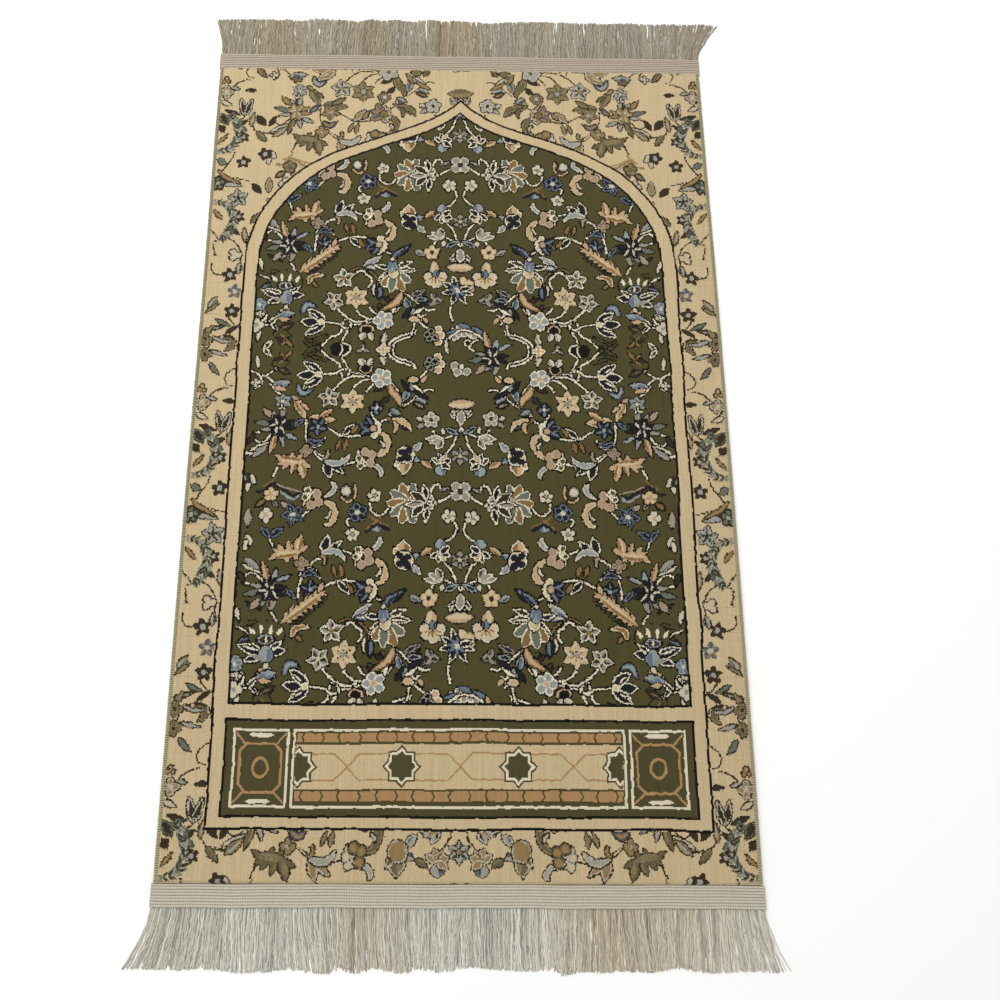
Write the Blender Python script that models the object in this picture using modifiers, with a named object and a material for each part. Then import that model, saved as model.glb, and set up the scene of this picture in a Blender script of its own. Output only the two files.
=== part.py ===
"""A prayer rug laid flat: a pile cloth with two overcast long edges, a ribbed heading tape across each end
and a fringe under each tape.

Metres, +Z up. The rug lies in the XY plane with its underside at z = 0. X runs across the rug and Y along
it, with the arch end towards +Y. The origin is under the middle of the rug, fringes included.
"""

from collections import namedtuple
from math import pi

import bmesh
import bpy
import numpy as np

# ---- driving dimensions ----
PILE_LENGTH = 1.096  # pile cloth between the two heading tapes
PILE_HEIGHT = 0.007  # backing and pile together
WOVEN_END = 0.020  # flat-woven end of the cloth that runs on under each tape
WOVEN_THICKNESS = 0.002
EDGE_WIDTH = 0.005  # the overcast bead along each long edge
TAPE_WIDTH = 0.0262
TAPE_THICKNESS = 0.0022
TAPE_PAST_EDGE = 0.0012  # how far a tape stands out past the overcast edges
FRINGE_THICKNESS = 0.002
FRINGE_REACH = 0.643  # from the middle of the rug to the longest strand
FRINGE_HEAD = 0.006  # the bound part of a fringe, past the tape's outer edge
UNEVEN = 0.007  # how much shorter the shortest lock of strands is
LOCKS = 54  # locks of strands along one fringe
LOCK_GAP = (0.0004, 0.0016)  # between two locks, at the root and at the tip
GAP = 0.0003  # between pieces that touch
TOP_ROUND = 0.0012  # sheared rim of the pile
EDGE_ROUND = 0.0021
TAPE_ROUND = 0.0007

PILE_END = PILE_LENGTH / 2
TAPE_INNER = PILE_END + GAP
TAPE_OUTER = TAPE_INNER + TAPE_WIDTH
CLOTH_END = PILE_END + WOVEN_END

# How the two long edges wander, measured at the outside of the overcasting.
Edge = namedtuple("Edge", "y left right")
EDGES = (
    Edge(-0.548, -0.3505, 0.3508),
    Edge(-0.420, -0.3503, 0.3520),
    Edge(-0.250, -0.3505, 0.3525),
    Edge(-0.100, -0.3505, 0.3533),
    Edge(0.060, -0.3500, 0.3533),
    Edge(0.240, -0.3496, 0.3530),
    Edge(0.400, -0.3502, 0.3517),
    Edge(0.548, -0.3500, 0.3512),
)

# How far a lock's tip lies to the side of its root: the corners splay out.
Splay = namedtuple("Splay", "x foot head")
SPLAYS = (
    Splay(-0.352, -0.0280, -0.0130),
    Splay(-0.335, -0.0150, -0.0085),
    Splay(-0.305, -0.0050, -0.0040),
    Splay(-0.260, 0.0000, 0.0000),
    Splay(0.260, 0.0000, 0.0000),
    Splay(0.305, 0.0030, 0.0060),
    Splay(0.335, 0.0090, 0.0160),
    Splay(0.352, 0.0160, 0.0280),
)

# Wider slits, where a few strands have parted.
Slit = namedtuple("Slit", "end x width")
SLITS = (
    Slit("head", 0.137, 0.0075),
    Slit("head", -0.050, 0.0045),
    Slit("foot", -0.318, 0.0060),
)


def new_collection(name):
    collection = bpy.data.collections.new(name)
    bpy.context.scene.collection.children.link(collection)
    return collection


def new_material(name, colour, roughness):
    material = bpy.data.materials.new(name)
    material.use_nodes = True
    shader = material.node_tree.nodes["Principled BSDF"]
    shader.inputs["Base Color"].default_value = (*colour, 1.0)
    shader.inputs["Roughness"].default_value = roughness
    shader.inputs["Metallic"].default_value = 0.0
    return material


def outline_mesh(name, outline, low, high):
    """A mesh of a flat outline, filled and raised from low to high."""
    curve = bpy.data.curves.new(name, "CURVE")
    curve.dimensions = "2D"
    curve.fill_mode = "BOTH"
    curve.extrude = (high - low) / 2
    spline = curve.splines.new("POLY")
    spline.points.add(len(outline) - 1)
    for point, (x, y) in zip(spline.points, outline):
        point.co = (x, y, 0.0, 1.0)
    spline.use_cyclic_u = True
    guide = bpy.data.objects.new(name + "_guide", curve)
    bpy.context.scene.collection.objects.link(guide)
    graph = bpy.context.evaluated_depsgraph_get()
    mesh = bpy.data.meshes.new_from_object(guide.evaluated_get(graph))
    bpy.data.objects.remove(guide)
    bpy.data.curves.remove(curve)
    welded = bmesh.new()
    welded.from_mesh(mesh)
    bmesh.ops.remove_doubles(welded, verts=welded.verts, dist=1e-5)
    bmesh.ops.translate(welded, verts=welded.verts, vec=(0, 0, (low + high) / 2))
    bmesh.ops.recalc_face_normals(welded, faces=welded.faces)
    welded.to_mesh(mesh)
    welded.free()
    mesh.name = name
    return mesh


def add_piece(name, mesh, material, collection):
    piece = bpy.data.objects.new(name, mesh)
    piece.data.materials.clear()
    piece.data.materials.append(material)
    collection.objects.link(piece)
    return piece


def round_edges(piece, width, segments):
    bevel = piece.modifiers.new("round", "BEVEL")
    bevel.width = width
    bevel.segments = segments
    bevel.limit_method = "ANGLE"
    bevel.angle_limit = pi / 4


def join_to(piece, mesh, collection):
    """Unites a second solid with the piece, so that the two are one body."""
    tool = bpy.data.objects.new(piece.name + "_tool", mesh)
    tool.hide_render = True
    tool.display_type = "WIRE"
    collection.objects.link(tool)
    union = piece.modifiers.new("join", "BOOLEAN")
    union.operation = "UNION"
    union.solver = "EXACT"
    union.object = tool
    return tool


def edge_line(side, inset):
    """Points along one long edge, inset towards the middle of the rug."""
    inwards = 1 if side == "left" else -1
    return [(getattr(row, side) + inwards * inset, row.y) for row in EDGES]


def cloth(material, collection, tools):
    """The pile cloth, with the thin woven ends that lie under the tapes."""
    inset = EDGE_WIDTH + GAP
    outline = edge_line("left", inset) + edge_line("right", inset)[::-1]
    piece = add_piece("rug_cloth", outline_mesh("rug_cloth", outline, 0, PILE_HEIGHT), material, collection)
    round_edges(piece, TOP_ROUND, 2)
    left = max(x for x, _ in edge_line("left", inset)) + TOP_ROUND
    right = min(x for x, _ in edge_line("right", inset)) - TOP_ROUND
    ends = ((left, -CLOTH_END), (right, -CLOTH_END), (right, CLOTH_END), (left, CLOTH_END))
    join_to(piece, outline_mesh("woven_ends", ends, 0, WOVEN_THICKNESS), tools)
    return piece


def overcast_edge(side, material, collection):
    """The bead of overcast yarn along one long edge."""
    outline = edge_line(side, 0) + edge_line(side, EDGE_WIDTH)[::-1]
    name = "overcast_edge_" + side
    piece = add_piece(name, outline_mesh(name, outline, 0, PILE_HEIGHT), material, collection)
    round_edges(piece, EDGE_ROUND, 3)
    return piece


def heading_tape(end, sign, material, collection):
    """The ribbed tape that is sewn over one end of the cloth and the root of the fringe."""
    row = EDGES[-1] if sign > 0 else EDGES[0]
    left = row.left - TAPE_PAST_EDGE
    right = row.right + TAPE_PAST_EDGE
    outline = [(left, TAPE_INNER), (right, TAPE_INNER), (right, TAPE_OUTER), (left, TAPE_OUTER)]
    outline = [(x, sign * y) for x, y in outline]
    low = WOVEN_THICKNESS + GAP
    name = "heading_tape_" + end
    piece = add_piece(name, outline_mesh(name, outline, low, low + TAPE_THICKNESS), material, collection)
    round_edges(piece, TAPE_ROUND, 2)
    return piece


def lock_lengths(phase):
    """How much each lock falls short of the longest one, from 0 to 1."""
    turns = np.arange(LOCKS)
    wave = np.sin(0.9 * turns + phase) + 0.7 * np.sin(2.3 * turns + 2 * phase) + 0.4 * np.sin(0.21 * turns)
    return (wave - wave.min()) / (wave.max() - wave.min())


def fringe(end, sign, phase, material, collection):
    """One comb of strand locks, bound together under the tape."""
    row = EDGES[-1] if sign > 0 else EDGES[0]
    left = row.left
    right = row.right
    bound = CLOTH_END + GAP
    root = TAPE_OUTER + FRINGE_HEAD
    splay_x = [splay.x for splay in SPLAYS]
    splay_by = [getattr(splay, end) for splay in SPLAYS]
    short = lock_lengths(phase)
    borders = np.linspace(left, right, LOCKS + 1)
    tip_gaps = np.full(LOCKS + 1, LOCK_GAP[1])
    for slit in SLITS:
        if slit.end == end:
            tip_gaps[np.abs(borders - slit.x).argmin()] = slit.width
    outline = [(right, bound), (left, bound)]
    for lock in range(LOCKS):
        for border, side in ((lock, 1), (lock + 1, -1)):
            x = borders[border]
            lean = np.interp(x, splay_x, splay_by)
            drop = abs(lean) * 0.5  # a lock that leans out reaches less far
            tip_y = FRINGE_REACH - UNEVEN * short[lock] - drop
            at_root = (x + side * LOCK_GAP[0] / 2, root)
            at_tip = (x + lean + side * tip_gaps[border] / 2, tip_y)
            outline += [at_root, at_tip] if side > 0 else [at_tip, at_root]
    outline = [(float(x), float(sign * y)) for x, y in outline]
    name = "fringe_" + end
    return add_piece(name, outline_mesh(name, outline, 0, FRINGE_THICKNESS), material, collection)


def build():
    for old in list(bpy.data.objects):
        bpy.data.objects.remove(old)
    rug = new_collection("prayer_rug")
    tools = new_collection("tools")
    cloth(new_material("wool_pile", (0.11, 0.10, 0.04), 0.9), rug, tools)
    overcast = new_material("overcast_yarn", (0.20, 0.20, 0.10), 0.7)
    for side in ("left", "right"):
        overcast_edge(side, overcast, rug)
    tape = new_material("ribbed_tape", (0.45, 0.38, 0.30), 0.55)
    strands = new_material("viscose_strands", (0.48, 0.43, 0.34), 0.45)
    for end, sign, phase in (("foot", -1, 0.6), ("head", 1, 1.9)):
        heading_tape(end, sign, tape, rug)
        fringe(end, sign, phase, strands, rug)


build()
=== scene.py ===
# %% [markdown]
# # A prayer rug
#
# This script dresses the measured CAD frame of a small prayer rug, as a machine loom would make it:
#
# - a chart of coloured tufts, from which the loom weaves the pile: field, arch, border and end panel
# - the woven ground under it, with a bare strip at each end
# - a yarn that is turned over each long edge, so it can't fray
# - a ribbed tape sewn over each end, and the loose warp threads that come out under it as a fringe

from math import pi, radians

import bpy
import numpy as np
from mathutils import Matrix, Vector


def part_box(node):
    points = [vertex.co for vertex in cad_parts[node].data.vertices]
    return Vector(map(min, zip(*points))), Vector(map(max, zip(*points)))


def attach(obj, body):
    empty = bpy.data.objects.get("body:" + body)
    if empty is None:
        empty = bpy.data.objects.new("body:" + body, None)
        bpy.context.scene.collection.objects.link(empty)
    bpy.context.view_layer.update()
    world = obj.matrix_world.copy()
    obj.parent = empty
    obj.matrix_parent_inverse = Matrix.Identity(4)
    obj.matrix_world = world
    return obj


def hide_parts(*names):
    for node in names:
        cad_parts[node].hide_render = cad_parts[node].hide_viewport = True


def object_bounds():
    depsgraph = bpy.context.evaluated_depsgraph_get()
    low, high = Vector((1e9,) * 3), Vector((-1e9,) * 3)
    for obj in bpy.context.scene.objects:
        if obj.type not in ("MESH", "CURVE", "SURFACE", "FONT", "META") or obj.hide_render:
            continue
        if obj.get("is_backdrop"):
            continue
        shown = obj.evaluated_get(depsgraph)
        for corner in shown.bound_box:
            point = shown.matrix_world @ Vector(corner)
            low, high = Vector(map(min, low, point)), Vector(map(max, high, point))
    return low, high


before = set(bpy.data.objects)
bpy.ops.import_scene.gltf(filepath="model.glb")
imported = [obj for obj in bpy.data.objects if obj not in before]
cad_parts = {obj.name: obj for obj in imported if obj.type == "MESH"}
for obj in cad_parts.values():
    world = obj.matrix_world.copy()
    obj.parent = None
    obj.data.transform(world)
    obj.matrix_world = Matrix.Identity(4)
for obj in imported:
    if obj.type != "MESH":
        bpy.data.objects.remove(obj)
SIZE_OF_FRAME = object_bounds()
random = np.random.default_rng(7)
print("frame nodes:", ", ".join(sorted(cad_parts)))


# %% [markdown]
# ## Helpers
#
# Shaders and Geometry Nodes trees are both graphs of nodes, so one helper adds a node to either. A colour
# is written as the hex code a designer would give, and turned into the linear light that shaders reckon
# in.


# %% Helpers for nodes, colours and meshes
def add(tree, kind, inputs=None, **settings):
    """Adds one node. An input is a value, or the output of another node to link to it."""
    node = tree.nodes.new(kind)
    for name, value in settings.items():
        setattr(node, name, value)
    for socket, value in (inputs or {}).items():
        if isinstance(value, bpy.types.NodeSocket):
            tree.links.new(value, node.inputs[socket])
        else:
            node.inputs[socket].default_value = value
    return node


def rgb(code):
    """The linear red, green, blue and alpha of an sRGB hex colour."""
    parts = np.array([int(code[i : i + 2], 16) for i in (1, 3, 5)]) / 255
    linear = np.where(parts <= 0.04045, parts / 12.92, ((parts + 0.055) / 1.055) ** 2.4)
    return (*linear.tolist(), 1.0)


def show(obj):
    bpy.context.scene.collection.objects.link(obj)
    return obj


def mesh_object(name, points, faces, material):
    mesh = bpy.data.meshes.new(name)
    mesh.from_pydata(points, [], faces)
    mesh.materials.append(material)
    return show(bpy.data.objects.new(name, mesh))


def dye(obj, shades, domain="POINT"):
    """Gives each point, or each corner of a face, its own yarn colour."""
    shades[..., 3] = 1
    layer = obj.data.color_attributes.new("yarn", "FLOAT_COLOR", domain)
    layer.data.foreach_set("color", shades.ravel())


print("helpers ready")


# %% [markdown]
# ## Yarns
#
# Everything here is yarn: soft, matt, with a faint sheen from the loose fibres that stand out of it.
# Light that glances along a fibre is what makes cloth look like cloth, so the wool has sheen and no
# shine.
#
# One material serves the whole pile. It reads each tuft's colour from the mesh, varies it a little from
# tuft to tuft, and draws faint streaks along the rug, where one pile yarn comes a shade darker than the
# next.


# %% Materials
STREAK_STRETCH = 0.03  # streaks are some thirty times as long as they are wide
STREAK_SCALE = 420.0  # a streak every few millimetres across the rug
BUMP_HEIGHT = 0.0006  # metres, about half a fibre bundle


def shading(tree, noise, low, high, amount):
    """Turns a noise into a shade that lies within an amount of 1."""
    limits = {"From Min": low, "From Max": high, "To Min": 1 - amount, "To Max": 1 + amount}
    return add(tree, "ShaderNodeMapRange", {"Value": noise.outputs["Fac"], **limits}).outputs[0]


def yarn_material(name, sheen, bump, grain, colour=None, streaks=0.0, spread=0.1):
    """A matt yarn with fibres of a grain in metres. Without a colour it reads the mesh's own."""
    material = bpy.data.materials.new(name)
    material.use_nodes = True
    tree = material.node_tree
    tree.nodes.clear()
    place = add(tree, "ShaderNodeTexCoord").outputs["Object"]
    if colour:
        base = add(tree, "ShaderNodeRGB")
        base.outputs[0].default_value = rgb(colour)
        base = base.outputs[0]
    else:
        base = add(tree, "ShaderNodeAttribute", attribute_name="yarn").outputs["Color"]
    fibre = add(tree, "ShaderNodeTexNoise", {"Vector": place, "Scale": 1 / grain, "Detail": 2.0})
    shade = shading(tree, fibre, 0.25, 0.75, spread)
    if streaks:
        along = add(tree, "ShaderNodeMapping", {"Vector": place, "Scale": (1.0, STREAK_STRETCH, 1.0)})
        noise = {"Vector": along.outputs[0], "Scale": STREAK_SCALE, "Detail": 3.0}
        band = shading(tree, add(tree, "ShaderNodeTexNoise", noise), 0.3, 0.7, streaks)
        shade = add(tree, "ShaderNodeMath", {0: shade, 1: band}, operation="MULTIPLY").outputs[0]
    tinted = add(tree, "ShaderNodeVectorMath", {0: base, "Scale": shade}, operation="SCALE")
    relief = {"Height": fibre.outputs["Fac"], "Strength": bump, "Distance": BUMP_HEIGHT}
    normal = add(tree, "ShaderNodeBump", relief).outputs[0]
    surface = add(tree, "ShaderNodeBsdfPrincipled", {"Base Color": tinted.outputs[0], "Normal": normal})
    surface.inputs["Roughness"].default_value = 0.9
    surface.inputs["Sheen Weight"].default_value = sheen
    surface.inputs["Sheen Roughness"].default_value = 0.5
    surface.inputs["Specular IOR Level"].default_value = 0.15
    add(tree, "ShaderNodeOutputMaterial", {"Surface": surface.outputs[0]})
    return material


# Cut wool ends: light sinks in between them, so the pile looks deep and matt, with hardly any sheen.
PILE_WOOL = yarn_material("wool_pile", sheen=0.05, bump=0.6, grain=0.0016, streaks=0.08)
# Unbleached cotton weave: dull and even.
GROUND_COTTON = yarn_material("cotton_ground", 0.05, 0.4, 0.0012, "#a59b84")
# Wool wound over the edge: whole fibres lie bare on the outside, so it has more sheen than the pile.
EDGE_WOOL = yarn_material("wool_overcast", 0.12, 0.5, 0.0010, "#aaa27f")
# Ribbed cotton: smoother than wool. Its ribs and grooves take their colours from the mesh, with a painted shade down
# each groove.
TAPE_COTTON = yarn_material("cotton_tape", 0.08, 0.5, 0.0009)
# Loose cotton warp: soft, with a little sheen along each thread.
FRINGE_COTTON = yarn_material("cotton_warp", 0.10, 0.3, 0.0008)
print("materials:", len(bpy.data.materials))

# %% [markdown]
# ## The weaver's chart
#
# A machine loom weaves a rug like this from cards: a chart that says, for every tuft of every row, which
# yarn comes up. One floral repeat is charted, 475 mm long and half the rug wide. It turns over at the
# middle line and starts again every 475 mm, under the arch and in the border alike. Only the yarns differ
# between the two: the vine that is cream on the olive field is dark on the ivory border. So the chart
# holds roles, such as "line" or "rim", and each ground has its own list of yarns for them.
#
# All chart sizes are in millimetres, with x from the middle line and y from the middle of the rug.

# %% The empty chart
CELL = 1.0  # mm from tuft to tuft, both ways
REPEAT = 475.0  # mm from one repeat to the next
REPEAT_START = -345.0
REPEAT_WIDTH = 352.0
ROLES = "ground rim line pale grey sky blue night peach sand rose brown teal heart umber stem halo".split()
ROLE = {role: number for number, role in enumerate(ROLES)}
RIM_WIDTH = 1.8  # mm of dark outline round a motif
EDGE_WIDTH = 1.6  # mm of cream outline inside the rim
SHADOW = dict(peach="brown", sand="peach", sky="blue", blue="night", pale="grey", grey="umber")
SHADED_FROM = 6.5  # mm: a petal wider than this has one half in the darker yarn of SHADOW

repeat_x = -REPEAT_WIDTH + (np.arange(int(2 * REPEAT_WIDTH / CELL)) + 0.5) * CELL
repeat_y = REPEAT_START + (np.arange(int(REPEAT / CELL)) + 0.5) * CELL
repeat_chart = np.zeros((len(repeat_y), len(repeat_x)), np.uint8)
fray = random.normal(0, 0.26, repeat_chart.shape)  # mm by which an outline strays at each tuft
fray += 0.8 * np.roll(fray, 1, axis=0) + 0.8 * np.roll(fray, 1, axis=1)
print("repeat of", repeat_chart.shape[1], "by", repeat_chart.shape[0], "tufts")

# %% [markdown]
# A pen draws on the chart. Every shape it knows is a distance: how far each tuft lies outside a petal, a
# disc or a stem, in mm. Below zero is inside and gets the fill, just outside is the dark rim, and just
# inside may be an edge line. So one function fills them all, and only the sums for the distance differ.


# %% Fill a shape, and bend a line
def near(x, y, reach):
    """The cells within reach of a point, as an index, and how far to the side and above it they lie."""
    columns = np.flatnonzero(np.abs(repeat_x - x) < reach)
    above = (repeat_y - y + REPEAT / 2) % REPEAT - REPEAT / 2
    rows = np.flatnonzero(np.abs(above) < reach)
    return np.ix_(rows, columns), repeat_x[columns][None, :] - x, above[rows][:, None]


def lay(cells, distance, fill, edge=None, rim=True):
    """Fills a shape, given how far each cell lies outside it, with its rim and its edge, a little frayed."""
    patch = repeat_chart[cells]
    distance = distance + fray[cells]
    if rim:
        patch[distance < RIM_WIDTH] = ROLE["halo" if fill == "stem" else "rim"]
    patch[distance < 0] = ROLE[edge or fill]
    if edge:
        patch[distance < -EDGE_WIDTH] = ROLE[fill]
    repeat_chart[cells] = patch


def smooth(points, per_stretch=26):
    """A smooth curve through a few points (Catmull-Rom)."""
    held = np.array([points[0], *points, points[-1]], float)
    q = np.linspace(0, 1, per_stretch, endpoint=False)[:, None]
    curve = []
    for a, b, c, d in zip(held, held[1:], held[2:], held[3:]):
        curve.append(b + 0.5 * q * (c - a + q * (2 * a - 5 * b + 4 * c - d + q * (3 * (b - c) + d - a))))
    return np.vstack([*curve, held[-1:]])


print("smooth curve through 3 points has", len(smooth(((0, 0), (1, 1), (2, 0)))), "points")

# %% [markdown]
# A petal is widest past its middle and narrows to a point or, when it is blunt, to a round end. Petals in
# a bunch get their dark rims first and their fills after, so that they touch as the petals of one flower
# do.


# %% The pen
class Pen:
    """Draws from a point, turned by some degrees, at some size, and turned over when flip is -1."""

    def __init__(self, x, y, turn=0.0, size=1.0, flip=1):
        self.x, self.y, self.turn, self.size, self.flip = x, y, turn, size, flip

    def at(self, u, v):
        c, s = np.cos(np.radians(self.turn)), np.sin(np.radians(self.turn))
        v = v * self.flip
        return self.x + self.size * (u * c - v * s), self.y + self.size * (u * s + v * c)

    def petal(self, u, v, angle, length, width, fill, edge=None, bend=0.0, blunt=0.5, rim=True):
        """A petal or leaf from its root, length by width, that curves aside by bend times its length."""
        x, y = self.at(u, v)
        length, width = length * self.size, width * self.size
        way = np.radians(self.turn + self.flip * angle)
        cells, dx, dy = near(x, y, length * (1.1 + abs(bend)) + width)
        along = dx * np.cos(way) + dy * np.sin(way)
        across = (dy * np.cos(way) - dx * np.sin(way)) * self.flip
        held = along.clip(0, length)
        share = held / length
        half = width / 2 * np.sin(np.pi * share**0.85) ** (1.25 - 0.9 * blunt)
        off = across - bend * length * share**2
        off = np.abs(off) - half
        outside = np.hypot(off.clip(0), along - held)
        distance = np.where((off > 0) | (along != held), outside, off)
        lay(cells, distance, fill, edge, rim)
        if width > SHADED_FROM and fill in SHADOW:
            shaded = distance + fray[cells] < -EDGE_WIDTH * (1.0 if edge else 0.4)
            shaded &= across - bend * length * share**2 < -0.08 * width
            patch = repeat_chart[cells]
            patch[shaded & (share < 0.8)] = ROLE[SHADOW[fill]]
            repeat_chart[cells] = patch

    def disc(self, u, v, radius, fill, edge=None, tall=1.0, angle=0.0, rim=True):
        """A round spot, or an oval one when it is made taller or flatter."""
        x, y = self.at(u, v)
        radius = radius * self.size
        way = np.radians(self.turn + self.flip * angle)
        cells, dx, dy = near(x, y, radius * max(1, tall) + 4)
        a = (dx * np.cos(way) + dy * np.sin(way)) / radius
        b = (dy * np.cos(way) - dx * np.sin(way)) / (radius * tall)
        lay(cells, (np.hypot(a, b) - 1) * radius * min(1, tall), fill, edge, rim)

    def bunch(self, petals, *yarns, blunt=0.5):
        """Petals that touch: the rims of them all first, so that no rim lies on a neighbour."""
        for petal in petals:
            self.petal(*petal[:5], "rim", blunt=blunt)
        for petal in petals:
            self.petal(*petal, *yarns, blunt=blunt, rim=False)

    def discs(self, spots, radius, fill, edge=None):
        """Round spots that touch, with one rim round them all."""
        for u, v in spots:
            self.disc(u, v, radius, "rim")
        for u, v in spots:
            self.disc(u, v, radius, fill, edge, rim=False)

    def stem(self, points, width, fill, edge=None, taper=False, rim=True):
        """A stem through some points, or with taper a comma that swells between its ends."""
        path = smooth([self.at(u, v) for u, v in points])
        middle, reach = path.mean(0), np.abs(path - path.mean(0)).max() + width + 3
        cells, dx, dy = near(*middle, reach)
        share = np.linspace(0, 1, len(path))
        swell = np.sin(np.pi * share**0.8) ** 0.7 if taper else np.ones(len(path))
        distance = np.full(np.broadcast(dx, dy).shape, 99.0)
        for (x, y), half in zip(path - middle, swell * width * self.size / 2):
            distance = np.minimum(distance, np.hypot(dx - x, dy - y) - half)
        lay(cells, distance, fill, edge, rim)


print("a pen draws", ", ".join(name for name in vars(Pen) if name[0] != "_"))

# %% [markdown]
# ## Flowers for the pen
#
# Each kind of flower is a short recipe for the pen, in millimetres at size 1. The kinds are the old ones
# of floral carpets: rosette, star flower, palmette, shield palmette, lily, tulip, blossom, bud and saz
# leaf. In a bunch, each row is one petal: where its root is, along and across, its angle, length and
# width, and its yarns.
#
# The first three recipes are rings of petals, drawn at a radius of 1 so that the size sets how big they
# come.


# %% Rosettes and star flowers
def rosette(pen, petals=6, fill="pale", edge=None, heart="rose", ball=0.33, start=90):
    """Round petals in a ring, at a radius of 1."""
    turns = np.radians(start + 360 * np.arange(petals) / petals)
    pen.discs([((1 - ball) * np.cos(a), (1 - ball) * np.sin(a)) for a in turns], ball, fill, edge)
    pen.disc(0, 0, 0.26, heart, rim=False)


def dark_rosette(pen, petals=5, fill="umber", heart="grey", start=90):
    """Petals that stand apart round a light heart, at a radius of 1."""
    for petal in range(petals):
        pen.petal(0, 0, start + 360 * petal / petals, 1.0, 0.7, fill, blunt=0.9, rim=False)
    pen.disc(0, 0, 0.3, heart, rim=False)


def star_flower(pen, petals=5, fill="pale", edge="line", heart="sand", wide=0.62, vein="rim", blunt=0.25):
    """Pointed petals in a ring, at a radius of 1."""
    turns = 90 + 360 * np.arange(petals) / petals
    pen.bunch([(0, 0, a, 1.0, wide) for a in turns], fill, edge, blunt=blunt)
    for a in turns:
        pen.petal(0, 0, a, 0.55, 0.1, vein, blunt=0.2, rim=False)
    pen.disc(0, 0, 0.2, heart, rim=False)


print("ring flowers ready")

# %% [markdown]
# The palmettes are flowers cut down the middle: a fan of petals opens at one end, darker leaves fold back
# beside it, and a cup holds them. They are the largest things in the repeat and the eye finds them first.


# %% Palmettes
def palmette(pen):
    for angle, length in ((-60, 15), (0, 16), (50, 15)):
        pen.petal(2, 0, angle, length, 6, "grey", "line", blunt=0.4)
    fan = [(35, 0, a, 27, 14, "teal" if a % 70 else "brown") for a in range(-105, 106, 35)]
    pen.bunch(fan, "line", blunt=0.95)
    leaves = [(11, -5, -77, 21, 9, "heart"), (10, 5, 81, 22, 9, "heart"), (12, 0, -36, 26, 12, "umber")]
    leaves += [(15, 1, 45, 24, 12, "umber"), (14, 0, 4, 26, 10, "grey")]
    pen.bunch(leaves, "line", blunt=0.4)
    pen.disc(0, 0, 2.3, "pale")
    pen.stem(((6, -14), (3, -22), (-3, -25), (-6, -19)), 2.0, "line")


def lotus(pen):
    leaves = [(13, -5, -106, 21, 9, "night"), (17, -2, -55, 25, 9, "night")]
    leaves += [(15, 5, 80, 29, 10, "umber"), (11, 6, 104, 23, 8, "umber")]
    pen.bunch(leaves, "line", blunt=0.35)
    pen.petal(17, 8, 82, 18, 2.6, "line", blunt=0.4, rim=False)
    pen.petal(18, -5, -56, 17, 2.2, "line", blunt=0.4, rim=False)
    fan = [(23, 1, 62, 26, 15, "teal"), (23, 0, -48, 24, 14, "brown")]
    fan += [(23, 0, 24, 28, 15, "brown"), (23, 0, -13, 27, 14, "teal")]
    pen.bunch(fan, "line", blunt=0.95)
    pen.petal(14, 0, 0, 15, 15, "sand", "line", blunt=0.7)
    pen.petal(2, 0, -8, 17, 14, "sky", blunt=0.7)
    pen.petal(2, 0, 12, 15, 5, "blue", blunt=0.6, rim=False)
    pen.disc(0, 0, 2.4, "pale")


def shield(pen):
    pen.petal(36, 6, 70, 22, 10, "ground", blunt=0.4)
    pen.petal(20, 0, 0, 31, 42, "ground", blunt=1.0)
    for angle, reach, side in ((-30, 10, -12), (-10, 12, -3), (8, 12, 6), (34, 11, 14)):
        pen.petal(34, side, angle, reach, 4.0, "line", blunt=0.8, rim=False)
    pen.disc(28, 1, 9.5, "umber", "sky", tall=0.6, angle=90)
    pen.petal(24, 1, 0, 8, 3, "line", blunt=0.8, rim=False)
    leaves = [(9, 4, 105, 24, 10), (12, 3, 72, 33, 13), (12, -2, -46, 22, 10), (12, -1, -80, 24, 11)]
    pen.bunch(leaves, "night", "line", blunt=0.45)
    pen.petal(15, 8, 74, 22, 2.6, "line", blunt=0.5, rim=False)
    pen.petal(14, -4, -60, 15, 2.4, "line", blunt=0.5, rim=False)
    pen.petal(0, 0, 0, 21, 16, "sky", blunt=0.7)
    pen.petal(4, 0, 72, 20, 6, "grey", blunt=0.4, rim=False)
    pen.disc(-3, 0, 3.2, "pale")


print("palmettes ready")

# %% [markdown]
# Lilies, tulips and blossoms are the middle sizes. Each has only a few petals of two or three yarns,
# since a real tuft is a millimetre wide and anything finer is lost in the weaving.


# %% Lilies, tulip and blossoms
def lily(pen):
    pen.bunch([(-4, -2, -34, 30, 13), (-4, 2, 34, 30, 13), (5, 0, 2, 24, 13)], "night", "line", blunt=0.55)
    for angle in (-34, 34):
        pen.petal(5, 0.2 * angle, angle * 0.9, 13, 2.4, "line", blunt=0.5, rim=False)
    pen.disc(1, 0, 4.6, "sand", "line", rim=False)


def bird_lily(pen):
    pen.bunch([(-7, -3, 76, 25, 12), (-2, -1, 41, 25, 9)], "night", "line", blunt=0.4)
    pen.stem(((-9, -4), (3, 1), (14, -2), (22, -11)), 8.5, "sky", "pale", taper=True)
    pen.stem(((-8, -6), (-4, -10), (-5, -16)), 3.2, "rose")


def grey_lily(pen):
    pen.bunch([(0, 0, 176, 25, 10), (-2, 0, 112, 17, 11), (-4, 0, 150, 17, 8)], "grey", "line", blunt=0.4)
    pen.petal(-2, 1, 150, 14, 3.5, "rose", blunt=0.4, rim=False)


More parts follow.
